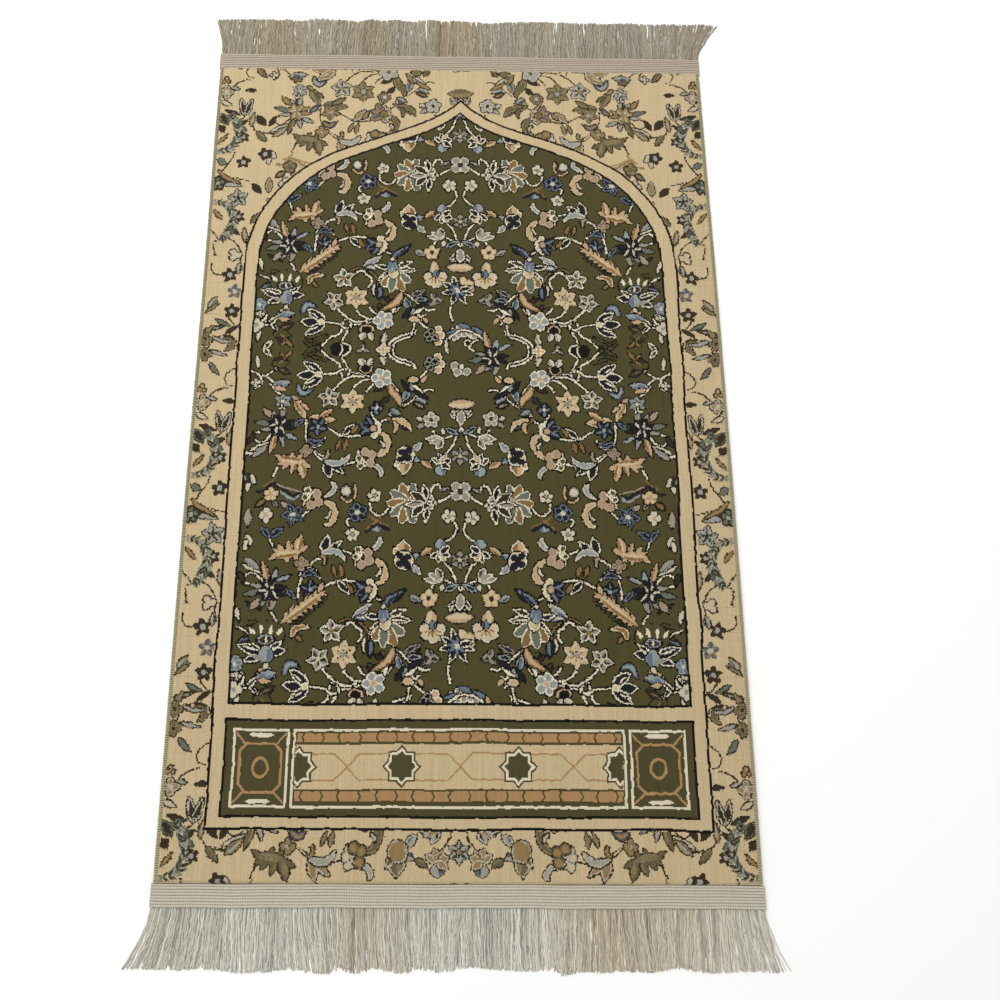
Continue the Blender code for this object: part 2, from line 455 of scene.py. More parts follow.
def tulip(pen):
    pen.petal(9, 3, 25, 11, 8, "sky", blunt=0.5)
    pen.petal(10, -6, -46, 17, 9, "sky", "pale", blunt=0.4)
    pen.bunch([(-1, 0, 92, 27, 20), (-4, 2, 122, 18, 9)], "peach", "line", blunt=0.35)
    pen.disc(0, 0, 11.8, "sand", "line")
    for u, v in ((-5, 5), (4, 4), (-5, -4), (4, -6), (0, 0)):
        pen.disc(u, v, 4.9, "night", rim=False)
    pen.petal(-11, 1, 0, 6, 2.4, "sand", blunt=0.5, rim=False)


def blossom(pen):
    pen.discs(((-6, 8), (-9, -1), (-6, -9), (1, 5)), 4.8, "ground", "line")
    pen.discs(((6, 4), (8, -7), (-1, -11)), 6.0, "rose", "peach")
    pen.petal(-6, -4, 55, 14, 2.6, "line", blunt=0.6, rim=False)
    pen.petal(-7, 3, -60, 9, 2.4, "line", blunt=0.6, rim=False)


def half_blossom(pen):
    pen.discs(((6, 8), (9, 1), (7, -6), (1, -10)), 5.0, "sand", "line")
    skirt = [(2, 2, 150, 17, 10, "blue", "night"), (2, 0, 190, 17, 9, "night", "blue")]
    skirt += [(2, -2, 228, 16, 9, "blue", "night")]
    pen.bunch(skirt, blunt=0.7)
    pen.disc(3, 0, 4.2, "peach", "rose")


def small_blossom(pen):
    pen.petal(0, 4, 92, 13, 14, "sky", blunt=0.6)
    ring = [(0, 0, a, 14, 9, "night" if a % 60 else "rose") for a in (-150, -100, -60, -20, 30)]
    pen.bunch(ring, "line", blunt=0.8)
    pen.petal(-2, -1, -48, 12, 2.6, "peach", blunt=0.6, rim=False)


def pansy(pen):
    pen.discs(((6, 9), (10, -1), (6, -9)), 5.6, "peach", "line")
    pen.discs(((-6, 5), (2, 3), (-4, -6), (-9, -1)), 4.6, "heart", "grey")


def drop_flower(pen):
    pen.petal(-2, 0, 91, 23, 14, "sand", "rose", blunt=0.5)
    pen.discs(((-10, 0), (10, 0), (-8, -8), (8, -8), (0, -12)), 5.8, "sand", "pale")
    pen.disc(0, -3, 8, "sand", rim=False)
    for angle in (-25, -58, -90, -122, -155):
        pen.petal(0, 0, angle, 12, 2.0, "brown", blunt=0.5, rim=False)
    pen.petal(0, -1, 90, 10, 8, "blue", blunt=0.8)


def spiky_flower(pen):
    for u, v, angle, length, width, fill in (
        (-3, 10, 103, 28, 7, "peach"),
        (3, 9, 74, 18, 6, "sky"),
        (9, 11, 20, 18, 5, "sky"),
        (-10, -2, 188, 22, 7, "teal"),
        (-9, 4, 172, 14, 5, "grey"),
        (-9, -12, 222, 18, 8, "rose"),
        (4, -9, 262, 17, 10, "grey"),
        (-4, -9, 244, 13, 7, "grey"),
        (7, -2, -30, 13, 5, "night"),
        (6, 2, 0, 15, 5, "night"),
    ):
        pen.petal(u, v, angle, length, width, fill, bend=0.06, blunt=0.5)
    pen.bunch([(0, 0, a, 15, 8) for a in (70, 120, 200, 250, 300)], "night", blunt=0.6)
    for u, v, angle in ((-2, 1, 100), (2, 0, 60), (-3, -2, 170), (-1, -2, 250), (3, -2, 310)):
        pen.petal(u, v, angle, 11, 2.6, "pale", blunt=0.5, rim=False)


print("blossoms ready")

# %% [markdown]
# Saz leaves are long, bent and toothed. The teeth are small petals set along the middle rib, so a leaf
# follows whatever curve its rib is given.


# %% Leaves with teeth
def saz_leaf(pen):
    teeth = [(2, -1, 3, 40, 12), (15, 1, 150, 13, 5), (8, -2, 205, 10, 5), (18, 2, 125, 13, 6)]
    teeth += [(27, 3, 105, 15, 7), (34, 1, 72, 24, 11), (30, -3, -50, 10, 5), (20, -4, -60, 8, 5)]
    teeth += [(38, 3, 20, 12, 6)]
    pen.bunch(teeth, "peach", blunt=0.4)
    pen.petal(8, 0, 4, 28, 3.5, "sand", blunt=0.7, rim=False)
    pen.petal(35, 5, 74, 13, 3, "sand", blunt=0.5, rim=False)


def long_leaf(pen):
    spine = smooth(((0, 0), (20, 1), (42, 4), (62, 9)), 3)
    for k, (u, v) in enumerate(spine[1:-1]):
        pen.petal(u, v - 1, -38 - 3 * k, 15 - 0.6 * k, 3.4, "ground", blunt=0.3)
        pen.petal(u, v, 44, 12 + 4 * (k % 3 == 1), 5.5, "peach", blunt=0.4)
        pen.petal(u, v, -34, 11, 4.5, "peach", blunt=0.4)
    pen.petal(0, 0, 4, 66, 9.5, "peach", bend=0.04, blunt=0.6, rim=False)
    pen.petal(10, 2, 5, 46, 3.0, "sand", bend=0.04, blunt=0.6, rim=False)


def maple_leaf(pen):
    lobes = [(0, 0, 70, 19, 12, "umber"), (0, 0, 22, 21, 11, "ground")]
    lobes += [(2, -2, -28, 24, 10, "umber"), (0, 0, 120, 10, 8, "ground")]
    pen.bunch(lobes, blunt=0.35)
    pen.petal(4, 4, 40, 13, 1.8, "brown", blunt=0.5, rim=False)
    pen.petal(3, -3, -26, 17, 1.8, "brown", blunt=0.5, rim=False)


def fuzzy_leaf(pen):
    """Two layers of barbs along a bent rib, dark on light, with a small flower in the bend."""
    spine = smooth(((-15, 36), (5, 32), (17, 14), (14, -6), (4, -24)), 4)
    way = np.degrees(np.arctan2(*np.gradient(spine, axis=0).T[::-1]))
    for reach, width, fill, third in ((13, 4.6, "teal", "teal"), (11, 1.9, "umber", "grey")):
        for k in range(1, len(spine) - 1):
            length = reach * np.sin(np.pi * k / len(spine)) ** 0.5
            for aside in (38, -38):
                barb = third if k % 3 == 1 else fill
                pen.petal(*spine[k], way[k] + aside, length, width, barb, blunt=0.5, rim=False)
    for angle in (35, -40, -100, 100):
        pen.petal(25, 13, angle, 9, 6, "umber", blunt=0.8, rim=False)
    pen.disc(25, 13, 2.6, "grey", rim=False)


print("toothed leaves ready")

# %% [markdown]
# Buds, cups and cloud bands fill what is left between the large flowers, so that no part of the ground is
# bare.


# %% Buds, cups and bands
def bud(pen):
    pen.petal(-9, 0, 8, 24, 11, "sky", blunt=0.4, bend=0.12)
    pen.petal(-6, -3, -8, 15, 6, "peach", blunt=0.6)
    pen.petal(-5, 1, 20, 9, 4, "blue", blunt=0.5, rim=False)


def bud_group(pen):
    pen.petal(-6, 14, 112, 18, 9, "blue", "sky", blunt=0.6)
    pen.petal(-3, 18, 236, 20, 5.5, "night", blunt=0.5)
    pen.petal(-1, 17, 262, 15, 5, "sky", blunt=0.5)
    pen.petal(-2, 8, 20, 18, 4, "line", blunt=0.5, bend=0.25)
    pen.disc(0, 0, 6.5, "peach", "sand", tall=0.65)


def two_buds(pen):
    pen.discs(((-4, 0), (8, 0)), 8.6, "heart")
    pen.disc(-4, 0, 10.2, "heart", rim=False)
    pen.stem(((2, 9), (5, 0), (1, -9)), 2.2, "line", rim=False)
    pen.stem(((4, 10), (15, 6), (16, -3), (6, -10)), 2.4, "line")


def cup(pen):
    pen.disc(0, -7, 9, "heart", "peach", tall=0.8)
    pen.bunch([(-3, -3, 112, 12, 9), (3, -3, 68, 12, 8)], "pale", blunt=0.6)


def white_cup(pen):
    pen.disc(-3, 2, 6.6, "pale", "grey")
    pen.stem(((8, 9), (9, -2), (5, -10)), 2.2, "peach")
    pen.stem(((3, 5), (5, -2), (2, -8)), 2.6, "umber", rim=False)
    pen.stem(((-9, -6), (-2, -11), (5, -10)), 2.2, "peach")


def bat(pen):
    pen.petal(0, -6, 90, 12, 17, "sky", blunt=0.5)
    pen.stem(((-14, -6), (-5, 1), (0, 4), (6, 0), (14, -4)), 4.6, "night", rim=False)
    pen.stem(((-13, -2), (-6, 4), (0, 7), (7, 4), (15, 0)), 2.0, "brown", rim=False)
    pen.stem(((-10, 14), (-1, 8), (4, 15)), 2.0, "brown", rim=False)


def wing(pen):
    band = ((-20, -5), (-10, -4), (-1, 5), (8, 1), (18, -5), (27, -10), (34, -6))
    pen.stem(band, 4.6, "night", rim=False)
    pen.stem(((2, -1), (14, -8), (26, -15), (34, -10)), 2.2, "sky", rim=False)
    pen.stem(((-11, 3), (-1, 9), (3, 14)), 2.0, "brown", rim=False)
    pen.stem(((6, 5), (17, 0), (27, -2), (37, -5)), 2.0, "rose", rim=False)


RINGS = (rosette, dark_rosette, star_flower)
PALMETTES = (palmette, lotus, shield)
LILIES = (lily, bird_lily, grey_lily, tulip)
BLOSSOMS = (blossom, half_blossom, small_blossom, pansy, drop_flower, spiky_flower)
LEAF_KINDS = (saz_leaf, long_leaf, maple_leaf, fuzzy_leaf)
SMALL = (bud, bud_group, two_buds, cup, white_cup, bat, wing)
KINDS = RINGS + PALMETTES + LILIES + BLOSSOMS + LEAF_KINDS + SMALL
RECIPES = {recipe.__name__: recipe for recipe in KINDS}
print("flower recipes:", len(RECIPES))

# %% [markdown]
# ## What grows where
#
# The repeat is a list of what grows where, kept as short tables of words: a line for each thing, with x from
# the middle of the rug and y in the repeat. A few small functions read them.


# %% Read a table
def value(word):
    """What one word of a table stands for: a number, nothing for a dash, or else the word itself."""
    if word == "-":
        return None
    if word.lstrip("-").isdigit():
        return int(word)
    return float(word) if word[-1].isdigit() else word


def words(text):
    return [value(word) for word in text.split()]


def points_of(text):
    return [words(point) for point in text.split(",")]


def rows(text):
    return text.strip().splitlines()


def count(table):
    return sum(len(rows(text)) for text in table.values())


print("a row reads as", words("12 -4.5 sky -"))

# %% [markdown]
# Parts of the repeat turn over once more along its length, about one line or another, so each table has three
# groups: what turns over at y = -107, what turns over at y = 109, and the rest.
#
# Stems come first, since all else grows over them. Each line of the table is one stem: the points it runs
# through.

# %% Stems: x y, x y and so on
FIRST, SECOND = -107, 109
STEMS = {
    FIRST: """
-62 -171, -52 -167, -42 -166, -32 -169, -20 -177, -11 -188, -6 -202, 0 -214
-155 -160, -144 -163, -134 -167
-172 -172, -182 -176, -190 -185, -198 -200, -201 -222
-176 -212, -164 -206, -153 -200, -140 -199, -128 -201
-240 -147, -235 -158
-245 -203, -252 -194, -260 -191, -267 -196, -268 -204, -261 -206
-6 -206, -14 -203, -22 -200, -32 -203, -36 -210
-200 -195, -192 -187, -182 -188, -175 -198
-107 -217, -99 -222, -94 -229
""",
    SECOND: """
-157 98, -152 88, -145 76, -133 73, -118 69
-184 106, -172 94, -160 87, -158 77, -155 66
-182 71, -165 73, -155 79, -148 78
-155 66, -148 69, -146 78
-168 49, -155 62, -140 70, -125 68
-141 46, -139 55, -130 63, -118 66
-123 49, -118 56, -110 61
-61 136, -66 128, -80 123, -88 118, -90 110
-67 132, -82 127, -94 118, -94 108
-46 78, -55 67, -60 62
-77 27, -66 36, -55 46, -45 52, -38 51
-70 50, -76 36, -77 28
-92 60, -84 50, -78 36
-247 62, -257 70, -264 70
-257 70, -250 75, -244 79
-275 77, -266 71, -262 60, -270 52
-297 80, -305 75, -311 66, -307 57, -300 55
""",
    None: """
-115 -102, -113 -110, -105 -117, -98 -116, -92 -109
-28 -101, -22 -98, -13 -92
-200 -121, -192 -113
-138 -120, -143 -124, -140 -131
-7 -127, -5 -136, -10 -146, -20 -152
-320 -68, -322 -78, -332 -92, -336 -100, -328 -108, -312 -110, -297 -115
-312 -110, -318 -114, -305 -112
-146 -260, -140 -254, -133 -252, -127 -258, -122 -262, -121 -270, -125 -276
-273 -259, -262 -264, -256 -272, -253 -280
-234 -240, -229 -246, -227 -253
-246 -322, -252 -330, -264 -333
-254 -332, -247 -338, -241 -342
-63 -328, -64 -336, -66 -345
-58 -325, -50 -332, -45 -335
-236 -308, -240 -314
-338 -207, -322 -204, -311 -209, -303 -222, -302 -238
-333 -205, -340 -196, -345 -190
-340 -242, -339 -252, -333 -258, -322 -259
-306 52, -318 49, -330 41
-308 -8, -315 -14, -328 -17, -336 -15
-340 -212, -338 -222, -336 -230
-336 108, -333 118, -322 125, -310 126, -300 120, -297 108
-250 58, -241 49, -235 43
-90 -234, -94 -228, -102 -222
-105 5, -98 9, -93 14
-303 -8, -301 -20, -293 -32, -278 -37, -262 -36, -250 -28
-201 5, -200 -15, -192 -30, -180 -43, -165 -50, -148 -53
""",
}
print("stems:", count(STEMS))

# %% [markdown]
# A leaf goes from its root to its tip. The word after its width is the yarn that fills it, and a second
# word is the yarn of its edge.

# %% Leaves: root x, root y, tip x, tip y, width, fill, edge
LEAVES = {
    FIRST: """
-50 -168 -38 -160 7 peach
-272 -180 -249 -191 5 pale
-268 -172 -251 -186 8 sky rose
-274 -190 -268 -202 6 umber
-216 -212 -204 -224 6 night blue
-153 -200 -138 -215 9 night line
-140 -203 -133 -214 5 brown
-160 -181 -155 -194 4 brown
-150 -180 -147 -194 5 brown
-90 -228 -70 -212 9 blue night
-97 -228 -84 -218 5 brown
-20 -214 -4 -206 7 night sky
-22 -206 -24 -212 5 pale
-18 -246 18 -246 13 sand rose
-14 -238 -6 -226 7 night line
0 -238 0 -218 12 grey line
-342 -160 -332 -172 4 rose
-300 -188 -297 -208 6 grey night
-320 -188 -308 -196 5 umber
-291 -180 -279 -166 8 peach
-292 -205 -281 -192 8 umber
""",
    SECOND: """
-262 108 -251 119 7 umber line
-270 99 -267 83 5 pale
-208 118 -188 104 2.5 ground
-199 99 -179 90 2.5 ground
-206 95 -192 103 2.0 ground
-239 103 -231 95 6 brown
-232 97 -224 104 5 brown
-105 114 -101 131 7 pale
-60 40 -48 34 8 sky
-63 34 -50 27 6 rose umber
-64 52 -46 40 6 night
-53 62 -46 70 5 peach
-98 57 -112 50 6 umber
-95 40 -103 34 6 umber
-292 100 -281 112 7 teal
-294 72 -282 58 8 peach
""",
    None: """
-186 -103 -176 -96 5 rose
-228 -102 -217 -110 6 rose
-260 -108 -248 -99 8 brown umber
-240 -99 -233 -107 5 umber grey
-240 -146 -224 -136 8 night blue
-239 -147 -250 -135 7 night blue
-273 -65 -263 -77 9 pale
-272 -88 -270 -74 5 pale
-269 -132 -269 -112 9 rose grey
-269 -143 -263 -155 8 pale
-270 -163 -268 -150 6 pale
-28 -86 -16 -82 4 grey
-133 -246 -110 -229 9 sky pale
-130 -246 -111 -246 7 pale blue
-118 -272 -117 -287 5 pale
-111 -272 -110 -292 10 blue night
-67 -288 -49 -279 7 night grey
-62 -294 -48 -293 7 night sky
-88 -300 -93 -318 4 line
-97 -234 -79 -216 7 blue
-264 -228 -247 -238 3 umber
-271 -279 -256 -272 7 blue umber
-244 -262 -256 -253 8 umber ground
-275 -234 -271 -250 5 pale
-202 -268 -195 -274 5 brown
-343 -80 -332 -86 8 teal
-335 -118 -309 -122 6 sky
-340 -308 -330 -294 9 sky brown
-343 -314 -327 -303 4 brown
-304 -256 -302 -243 7 grey
-342 -342 -320 -336 5 sky umber
-328 -326 -312 -334 4.5 teal
-314 -345 -301 -336 4.5 umber
-333 104 -312 98 4 sky
-333 86 -321 72 6 teal
-343 124 -333 138 6 brown
-332 38 -322 36 4 sky
-310 -8 -316 18 9 umber line
-309 -8 -301 17 9 umber line
-345 16 -332 10 6 ground line
-338 0 -319 -6 5 umber
-344 -6 -334 -22 12 umber teal
-344 -26 -338 -34 8 umber
-297 34 -308 34 5 umber
-318 -24 -308 -32 5 teal
-292 -240 -281 -252 8 umber
-292 -276 -281 -262 8 grey
-292 -320 -282 -306 8 peach
-292 -120 -281 -132 8 umber
-92 24 -80 18 8 sky teal
-116 22 -112 8 4 line
-58 14 -46 8 7 pale
-56 0 -46 6 6 grey
-62 -220 -50 -226 8 grey sky
-217 40 -203 12 11 peach sand
-208 30 -199 24 5 peach
-197 11 -165 8 14 peach sand
-185 12 -168 22 7 peach
-222 42 -214 37 5 rose
""",
}
print("leaves:", count(LEAVES))

# %% [markdown]
# A curled leaf swells and thins again along a curve, like a comma.

# %% Curled leaves: width, fill, edge: x y, x y and so on
CURLS = {
    FIRST: """
7 sky pale: -113 -160, -106 -158, -101 -150, -104 -146
9 peach sand: -110 -172, -99 -180, -94 -192, -98 -202, -107 -203
3 pale: -104 -194, -100 -190, -98 -184
7 night blue: -196 -196, -187 -191, -178 -196
""",
    SECOND: """
7 sky blue: -213 58, -210 48, -203 45, -194 51
10 peach brown: -94 58, -90 46, -82 38, -80 28
""",
    None: """
7 sky pale: -172 -94, -163 -88, -160 -80, -165 -75
9 peach sand: -174 -100, -163 -105, -159 -117, -163 -128, -172 -130
3 pale: -170 -122, -166 -119, -164 -112
2.4 brown: -150 -253, -143 -249, -134 -247
2.4 brown: -127 -250, -118 -257, -113 -265, -112 -275
7.5 brown sand: -206 -271, -203 -262, -194 -258, -184 -259
3 line: -269 -315, -262 -319, -264 -326, -271 -327
8 peach sand: -90 11, -78 8, -70 4, -65 -5
5 peach: -86 7, -83 0, -86 -8
8 peach brown: -316 121, -308 119, -306 111, -312 105
5 rose: -341 -97, -331 -108, -322 -112, -309 -119
4 sky: -330 124, -318 118, -306 118
2 rim: -90 -288, -98 -287, -96 -292, -105 -291, -103 -297
2 rim: -103 -297, -104 -303, -112 -301, -114 -306, -125 -303
10 peach brown: -81 -283, -85 -294, -93 -302, -108 -310
3 line: -64 -309, -56 -319, -49 -315
""",
}
print("curled leaves:", count(CURLS))

# %% [markdown]
# A flower has its recipe, its place, the way it points in degrees and its size. What follows is how this
# one differs from its recipe, and a dash stands for none.

# %% Flowers: recipe, x, y, turn, size, differences
FLOWERS = {
    FIRST: """
saz_leaf -238 -169 4 0.98
bird_lily -165 -164 0 1.0
blossom -122 -168 0 1.0
tulip -71 -175 0 1.0
small_blossom -25 -165 0 1.0
star_flower 0 -175 0 12 petals=6 fill=grey edge=- heart=sand vein=umber
rosette -198 -180 0 9 petals=4 fill=brown edge=rose heart=grey ball=0.4
star_flower -186 -213 0 13 fill=blue edge=night heart=sky vein=night blunt=0.7
half_blossom -116 -211 10 1.0
grey_lily -22 -200 0 1.0
spiky_flower -236 -213 0 1.0
rosette -9 -235 0 4.5 petals=3 fill=pale heart=pale
fuzzy_leaf -333 -183 0 1.0
""",
    SECOND: """
lily -186 71 180 1.0
rosette -104 68 18 14 petals=5 fill=sky edge=line heart=peach ball=0.42
star_flower -172 39 8 15 fill=grey edge=pale heart=sand wide=0.66
star_flower -141 34 0 17 petals=6 fill=sand edge=sand heart=grey blunt=0.6
cup -125 88 0 1.0
pansy -36 89 0 1.0
maple_leaf -243 84 0 0.85
bud -238 57 -8 1.0
bud_group -64 -323 0 1.0
rosette -244 80 0 2.4 petals=3 fill=pale heart=pale
rosette -270 60 0 6.0 petals=4 fill=grey edge=pale heart=pale
rosette -340 98 0 9 petals=4 fill=peach edge=brown heart=heart ball=0.42
""",
    None: """
palmette -32 -102 180 1.0
rosette 0 -86 45 15 petals=4 fill=grey edge=pale heart=umber ball=0.42
rosette -109 -92 10 8.6 petals=5 ball=0.36
rosette -136 -141 0 8.8 petals=5 ball=0.36
rosette -15 -119 20 9.4 petals=5 ball=0.36
white_cup -142 -88 0 1.0
rosette -130 -113 10 12 petals=5 fill=night edge=blue heart=pale ball=0.42
bat -105 -132 0 1.0
blossom -188 -94 0 1.0
star_flower -212 -118 25 15 fill=night edge=blue heart=pale vein=sky blunt=0.5
rosette -246 -119 0 9.5 petals=4 heart=peach ball=0.42
wing -240 -83 0 1.0
rosette -241 -92 0 9.5 petals=5 fill=sand edge=peach heart=peach ball=0.4
dark_rosette -306 -84 0 11
dark_rosette -277 -71 20 11
rosette -341 -118 0 11 petals=5 fill=teal edge=umber heart=sky ball=0.4
star_flower -311 -142 10 14 fill=grey edge=sky heart=umber vein=umber blunt=0.6
star_flower -158 -263 6 16 fill=grey edge=line heart=brown vein=ground
lotus -94 -233 -84 1.0
drop_flower -33 -259 0 1.0
rosette -39 -223 0 11 petals=5 fill=sand edge=peach heart=umber ball=0.42
rosette -39 11 0 11 petals=5 fill=grey edge=pale heart=umber ball=0.4
star_flower -36 -294 20 11 petals=3 fill=grey edge=- heart=rose wide=0.75
shield -236 -303 90 1.0
long_leaf -220 -254 31 1.0
bud -238 -320 0 1.0
rosette -272 -303 0 9.5 petals=5 fill=blue edge=sky heart=pale ball=0.4
rosette -273 -333 0 10 petals=4 fill=pale heart=grey ball=0.45
two_buds -160 108 0 0.88
rosette -103 108 0 9 petals=4 fill=peach edge=line heart=peach ball=0.45
star_flower -129 109 0 9 petals=3 fill=grey edge=- heart=pale wide=0.4
star_flower -232 34 0 11 petals=6 fill=sky edge=grey heart=pale blunt=0.8
rosette -233 25 0 5 petals=3 fill=pale heart=pale
rosette -110 25 0 9 petals=4 fill=blue edge=night heart=pale ball=0.42
rosette -92 17 0 3 petals=3 fill=pale heart=pale
dark_rosette -315 -259 12 11.5
dark_rosette -306 -284 0 11 fill=blue heart=pale
dark_rosette -308 -313 0 11.5
rosette -310 -229 30 9 petals=3 fill=ground edge=line heart=ground ball=0.48
rosette -338 31 90 10 petals=4 fill=rose edge=line heart=line ball=0.42
rosette -340 50 0 6 petals=3 fill=pale edge=rose heart=rose ball=0.4
""",
}
print("flowers:", count(FLOWERS))

# %% [markdown]
# The tables are woven in layers, so that what lies on top is drawn last: the stems of all groups, then leaves
# and curls, then flowers. A second pen, turned over, draws the echo of each group that has one. All this is
# half of the repeat, and the other half is its mirror image.


# %% Weave the repeat
def pens(echo, x=0.0, y=0.0, turn=0.0, size=1.0):
    """The pen for a place, and the pen for its echo where it has one."""
    yield Pen(x, y, turn, size)
    if echo is not None:
        yield Pen(x, 2 * echo - y, -turn, size, -1)


for echo, text in STEMS.items():
    for pen in pens(echo):
        for row in rows(text):
            pen.stem(points_of(row), 2.2, "stem")
for echo in STEMS:
    for pen in pens(echo):
        for row in rows(LEAVES[echo]):
            a, b, c, d, width, *yarns = words(row)
            turn = np.degrees(np.arctan2(d - b, c - a))
            pen.petal(a, b, turn, np.hypot(c - a, d - b) + 2, width, *yarns, blunt=0.45)
        for row in rows(CURLS[echo]):
            style, path = row.split(":")
            width, *yarns = words(style)
            pen.stem(points_of(path), width, *yarns, taper=True, rim=yarns[0] != "rim")
for echo, text in FLOWERS.items():
    for row in rows(text):
        name, x, y, turn, size, *changes = row.split()
        options = {key: value(word) for key, word in (change.split("=") for change in changes)}
        for pen in pens(echo, value(x), value(y), value(turn), value(size)):
            RECIPES[name](pen, **options)

half = len(repeat_x) // 2
repeat_chart[:, half:] = repeat_chart[:, :half][:, ::-1]
print("half of the repeat woven and mirrored")

# %% [markdown]
# Two motifs on the middle line don't turn over: a lily on a bent stem, and a wreath. They are drawn last,
# over the mirrored halves.

# %% The lily and the wreath on the middle line
middle = Pen(-4, -280)
middle.stem(((-2, -10), (-9, -20), (-11, -32), (-7, -44)), 2.2, "stem")
middle.discs(((8, 14), (16, 10), (17, 3)), 6.0, "sand", "peach")
middle.bunch([(0, 0, a, 23, 9) for a in (105, 150, 190, 245, 300, 345, 15)], "night", "line", blunt=0.4)
middle.bunch([(0, 0, a, 12, 4) for a in (85, 130, 170, 215, 270, 320)], "blue", blunt=0.5)
middle.disc(0, 0, 3.2, "pale", rim=False)
middle.bunch([(4, -66, a, 17, 9) for a in (30, 65, 100, 140)], "grey", "line", blunt=0.9)

clear, aside, above = near(36, 110, 38)
cleared = (np.abs(aside) < 17) & (np.abs(above) < 38)
repeat_chart[clear] = np.where(cleared, ROLE["ground"], repeat_chart[clear])
wreath = Pen(0, 110)
wreath.bunch([(-2, 26, 188, 17, 6), (13, 30, 158, 17, 6), (30, 22, 145, 17, 6)], "blue", blunt=0.6)
wreath.discs(((-7, 17), (-2, 21), (5, 22), (12, 22), (18, 20)), 5.0, "grey", "line")
bow = ((-17, -4), (-18, 8), (-12, 19), (2, 27), (18, 24), (30, 15), (34, 3), (34, -8))
wreath.stem(bow, 2.4, "stem")
wreath.stem(((-17, -6), (-19, 4), (-17, 14)), 4.6, "rose", "line", taper=True)
wreath.disc(10, 9, 5.4, "heart", "line")
wreath.stem(((23, 14), (15, 9), (12, 2), (18, -1)), 2.2, "stem")
wreath.discs(((-8, -23), (-5, -33), (8, -32)), 6.0, "grey", "pale")
wreath.disc(1, -25, 3.0, "line")
spiky_flower(Pen(42, 99))
covered = (repeat_chart != ROLE["ground"]).mean()
print(f"repeat charted: {covered:.0%} of its tufts belong to a motif")


# %% [markdown]
# ## From repeat to rug
#
# Now the whole rug is charted. Its field is an arch, the prayer niche: straight sides, round shoulders
# and a last rise to a point, which is the way to face. A plain ivory frame runs round it, and below it is
# an end panel of stars and small cartouches. What is left outside the frame is the border.
#
# No loom holds its threads quite straight, and each line of a real rug wanders by a millimetre or so. So
# every tuft looks up its colour a little way off from where it stands, and that little way changes
# smoothly.

# %% Where each tuft looks
WIDTH, LENGTH = 691, 1096  # tufts across and along
tuft_x, tuft_y = np.meshgrid(np.arange(WIDTH) - (WIDTH - 1) / 2, np.arange(LENGTH) - (LENGTH - 1) / 2)


def wander(step, amount):
    """A smooth random shift for every tuft, in mm, that changes over step tufts."""
    knots = random.normal(0, amount, (LENGTH // step + 3, WIDTH // step + 3))
    rows = np.linspace(0, knots.shape[0] - 1.01, LENGTH)
    columns = np.linspace(0, knots.shape[1] - 1.01, WIDTH)
    row, column = rows.astype(int), columns.astype(int)
    a, b = (rows - row)[:, None], (columns - column)[None, :]
    a, b = a * a * (3 - 2 * a), b * b * (3 - 2 * b)
    low = knots[row][:, column] * (1 - b) + knots[row][:, column + 1] * b
    high = knots[row + 1][:, column] * (1 - b) + knots[row + 1][:, column + 1] * b
    return low * (1 - a) + high * a


# Long, slow bends across the rug, and on them the short ones from tuft to tuft.
x = tuft_x + wander(45, 0.8) + wander(5, 0.35)
y = tuft_y + wander(60, 0.8) + wander(5, 0.35)
side = np.abs(x)
print("tufts in the rug:", x.size)

# %% [markdown]
# Three measures draw all the straight and arched lines. Like the pen's shapes they are distances in mm,
# so a line of any width is the tufts whose distance is near zero, and a filled shape is those below zero.


# %% Measures for arch, boxes and lines
def inside_arch(half, foot, shoulder, round_rise, point_rise):
    """How far each tuft lies inside an arch, in mm."""
    t = (side / half).clip(0, 1)
    height = shoulder + round_rise * np.sqrt(1 - t**2.6) + point_rise * np.exp(-t / 0.19)
    slope = np.abs(np.gradient(height, axis=1))
    return np.minimum(np.minimum(half - side, (height - y) / np.hypot(1, slope)), y - foot)


def outside_box(cx, cy, half_wide, half_tall, cut=0.0):
    """How far each tuft lies outside a rectangle with cut corners, in mm."""
    a, b = np.abs(side - cx) - half_wide, np.abs(y - cy) - half_tall
    return np.maximum(np.maximum(a, b), (a + b + cut) / 2**0.5)


def draw(distance, yarn, wide=0.0):
    """Fills the tufts with a distance below zero or, given a width, those on the outline."""
    chosen = np.abs(distance) < wide / 2 if wide else distance < 0
    yarn_chart[chosen] = YARN[yarn]


print("from the middle to the rug's edge:", side.max().round(), "mm")

# %% [markdown]
# These are the dyed yarns. A real loom holds fewer, and makes the shades between them by mixing two from tuft
# to tuft; here each shade is a yarn of its own. The two lists below give, in the order of ROLES, the yarn that
# each role takes on the field and on the border.

# %% Yarns for each ground
YARNS = {
    "olive": "#443f21",
    "panel_green": "#433e23",
    "ivory": "#b3a07c",
    "black": "#0d0a06",
    "cream": "#c6bda4",
    "pale": "#b2aa93",
    "grey": "#807b6e",
    "sky": "#7f8684",
    "blue": "#59646f",
    "navy": "#17181c",
    "peach": "#a88c6a",
    "sand": "#b4a381",
    "rose": "#8f7d6a",
    "brown": "#755a34",
    "teal": "#5b6052",
    "heart": "#0f0c08",
    "umber": "#2b241a",
    "khaki": "#77694a",
    "bark": "#2f2718",
    "fog": "#a39c89",
    "clay": "#98764f",
    "tan": "#836b45",
    "moss": "#5b5238",
    "mist": "#8b897d",
    "slate": "#4a4f56",
}
YARN = {name: number for number, name in enumerate(YARNS)}
IN_FIELD = "olive black cream pale grey sky blue navy peach sand rose brown teal heart umber cream black"
IN_BORDER = "ivory bark fog fog mist mist slate tan moss khaki tan khaki teal bark bark bark ivory"
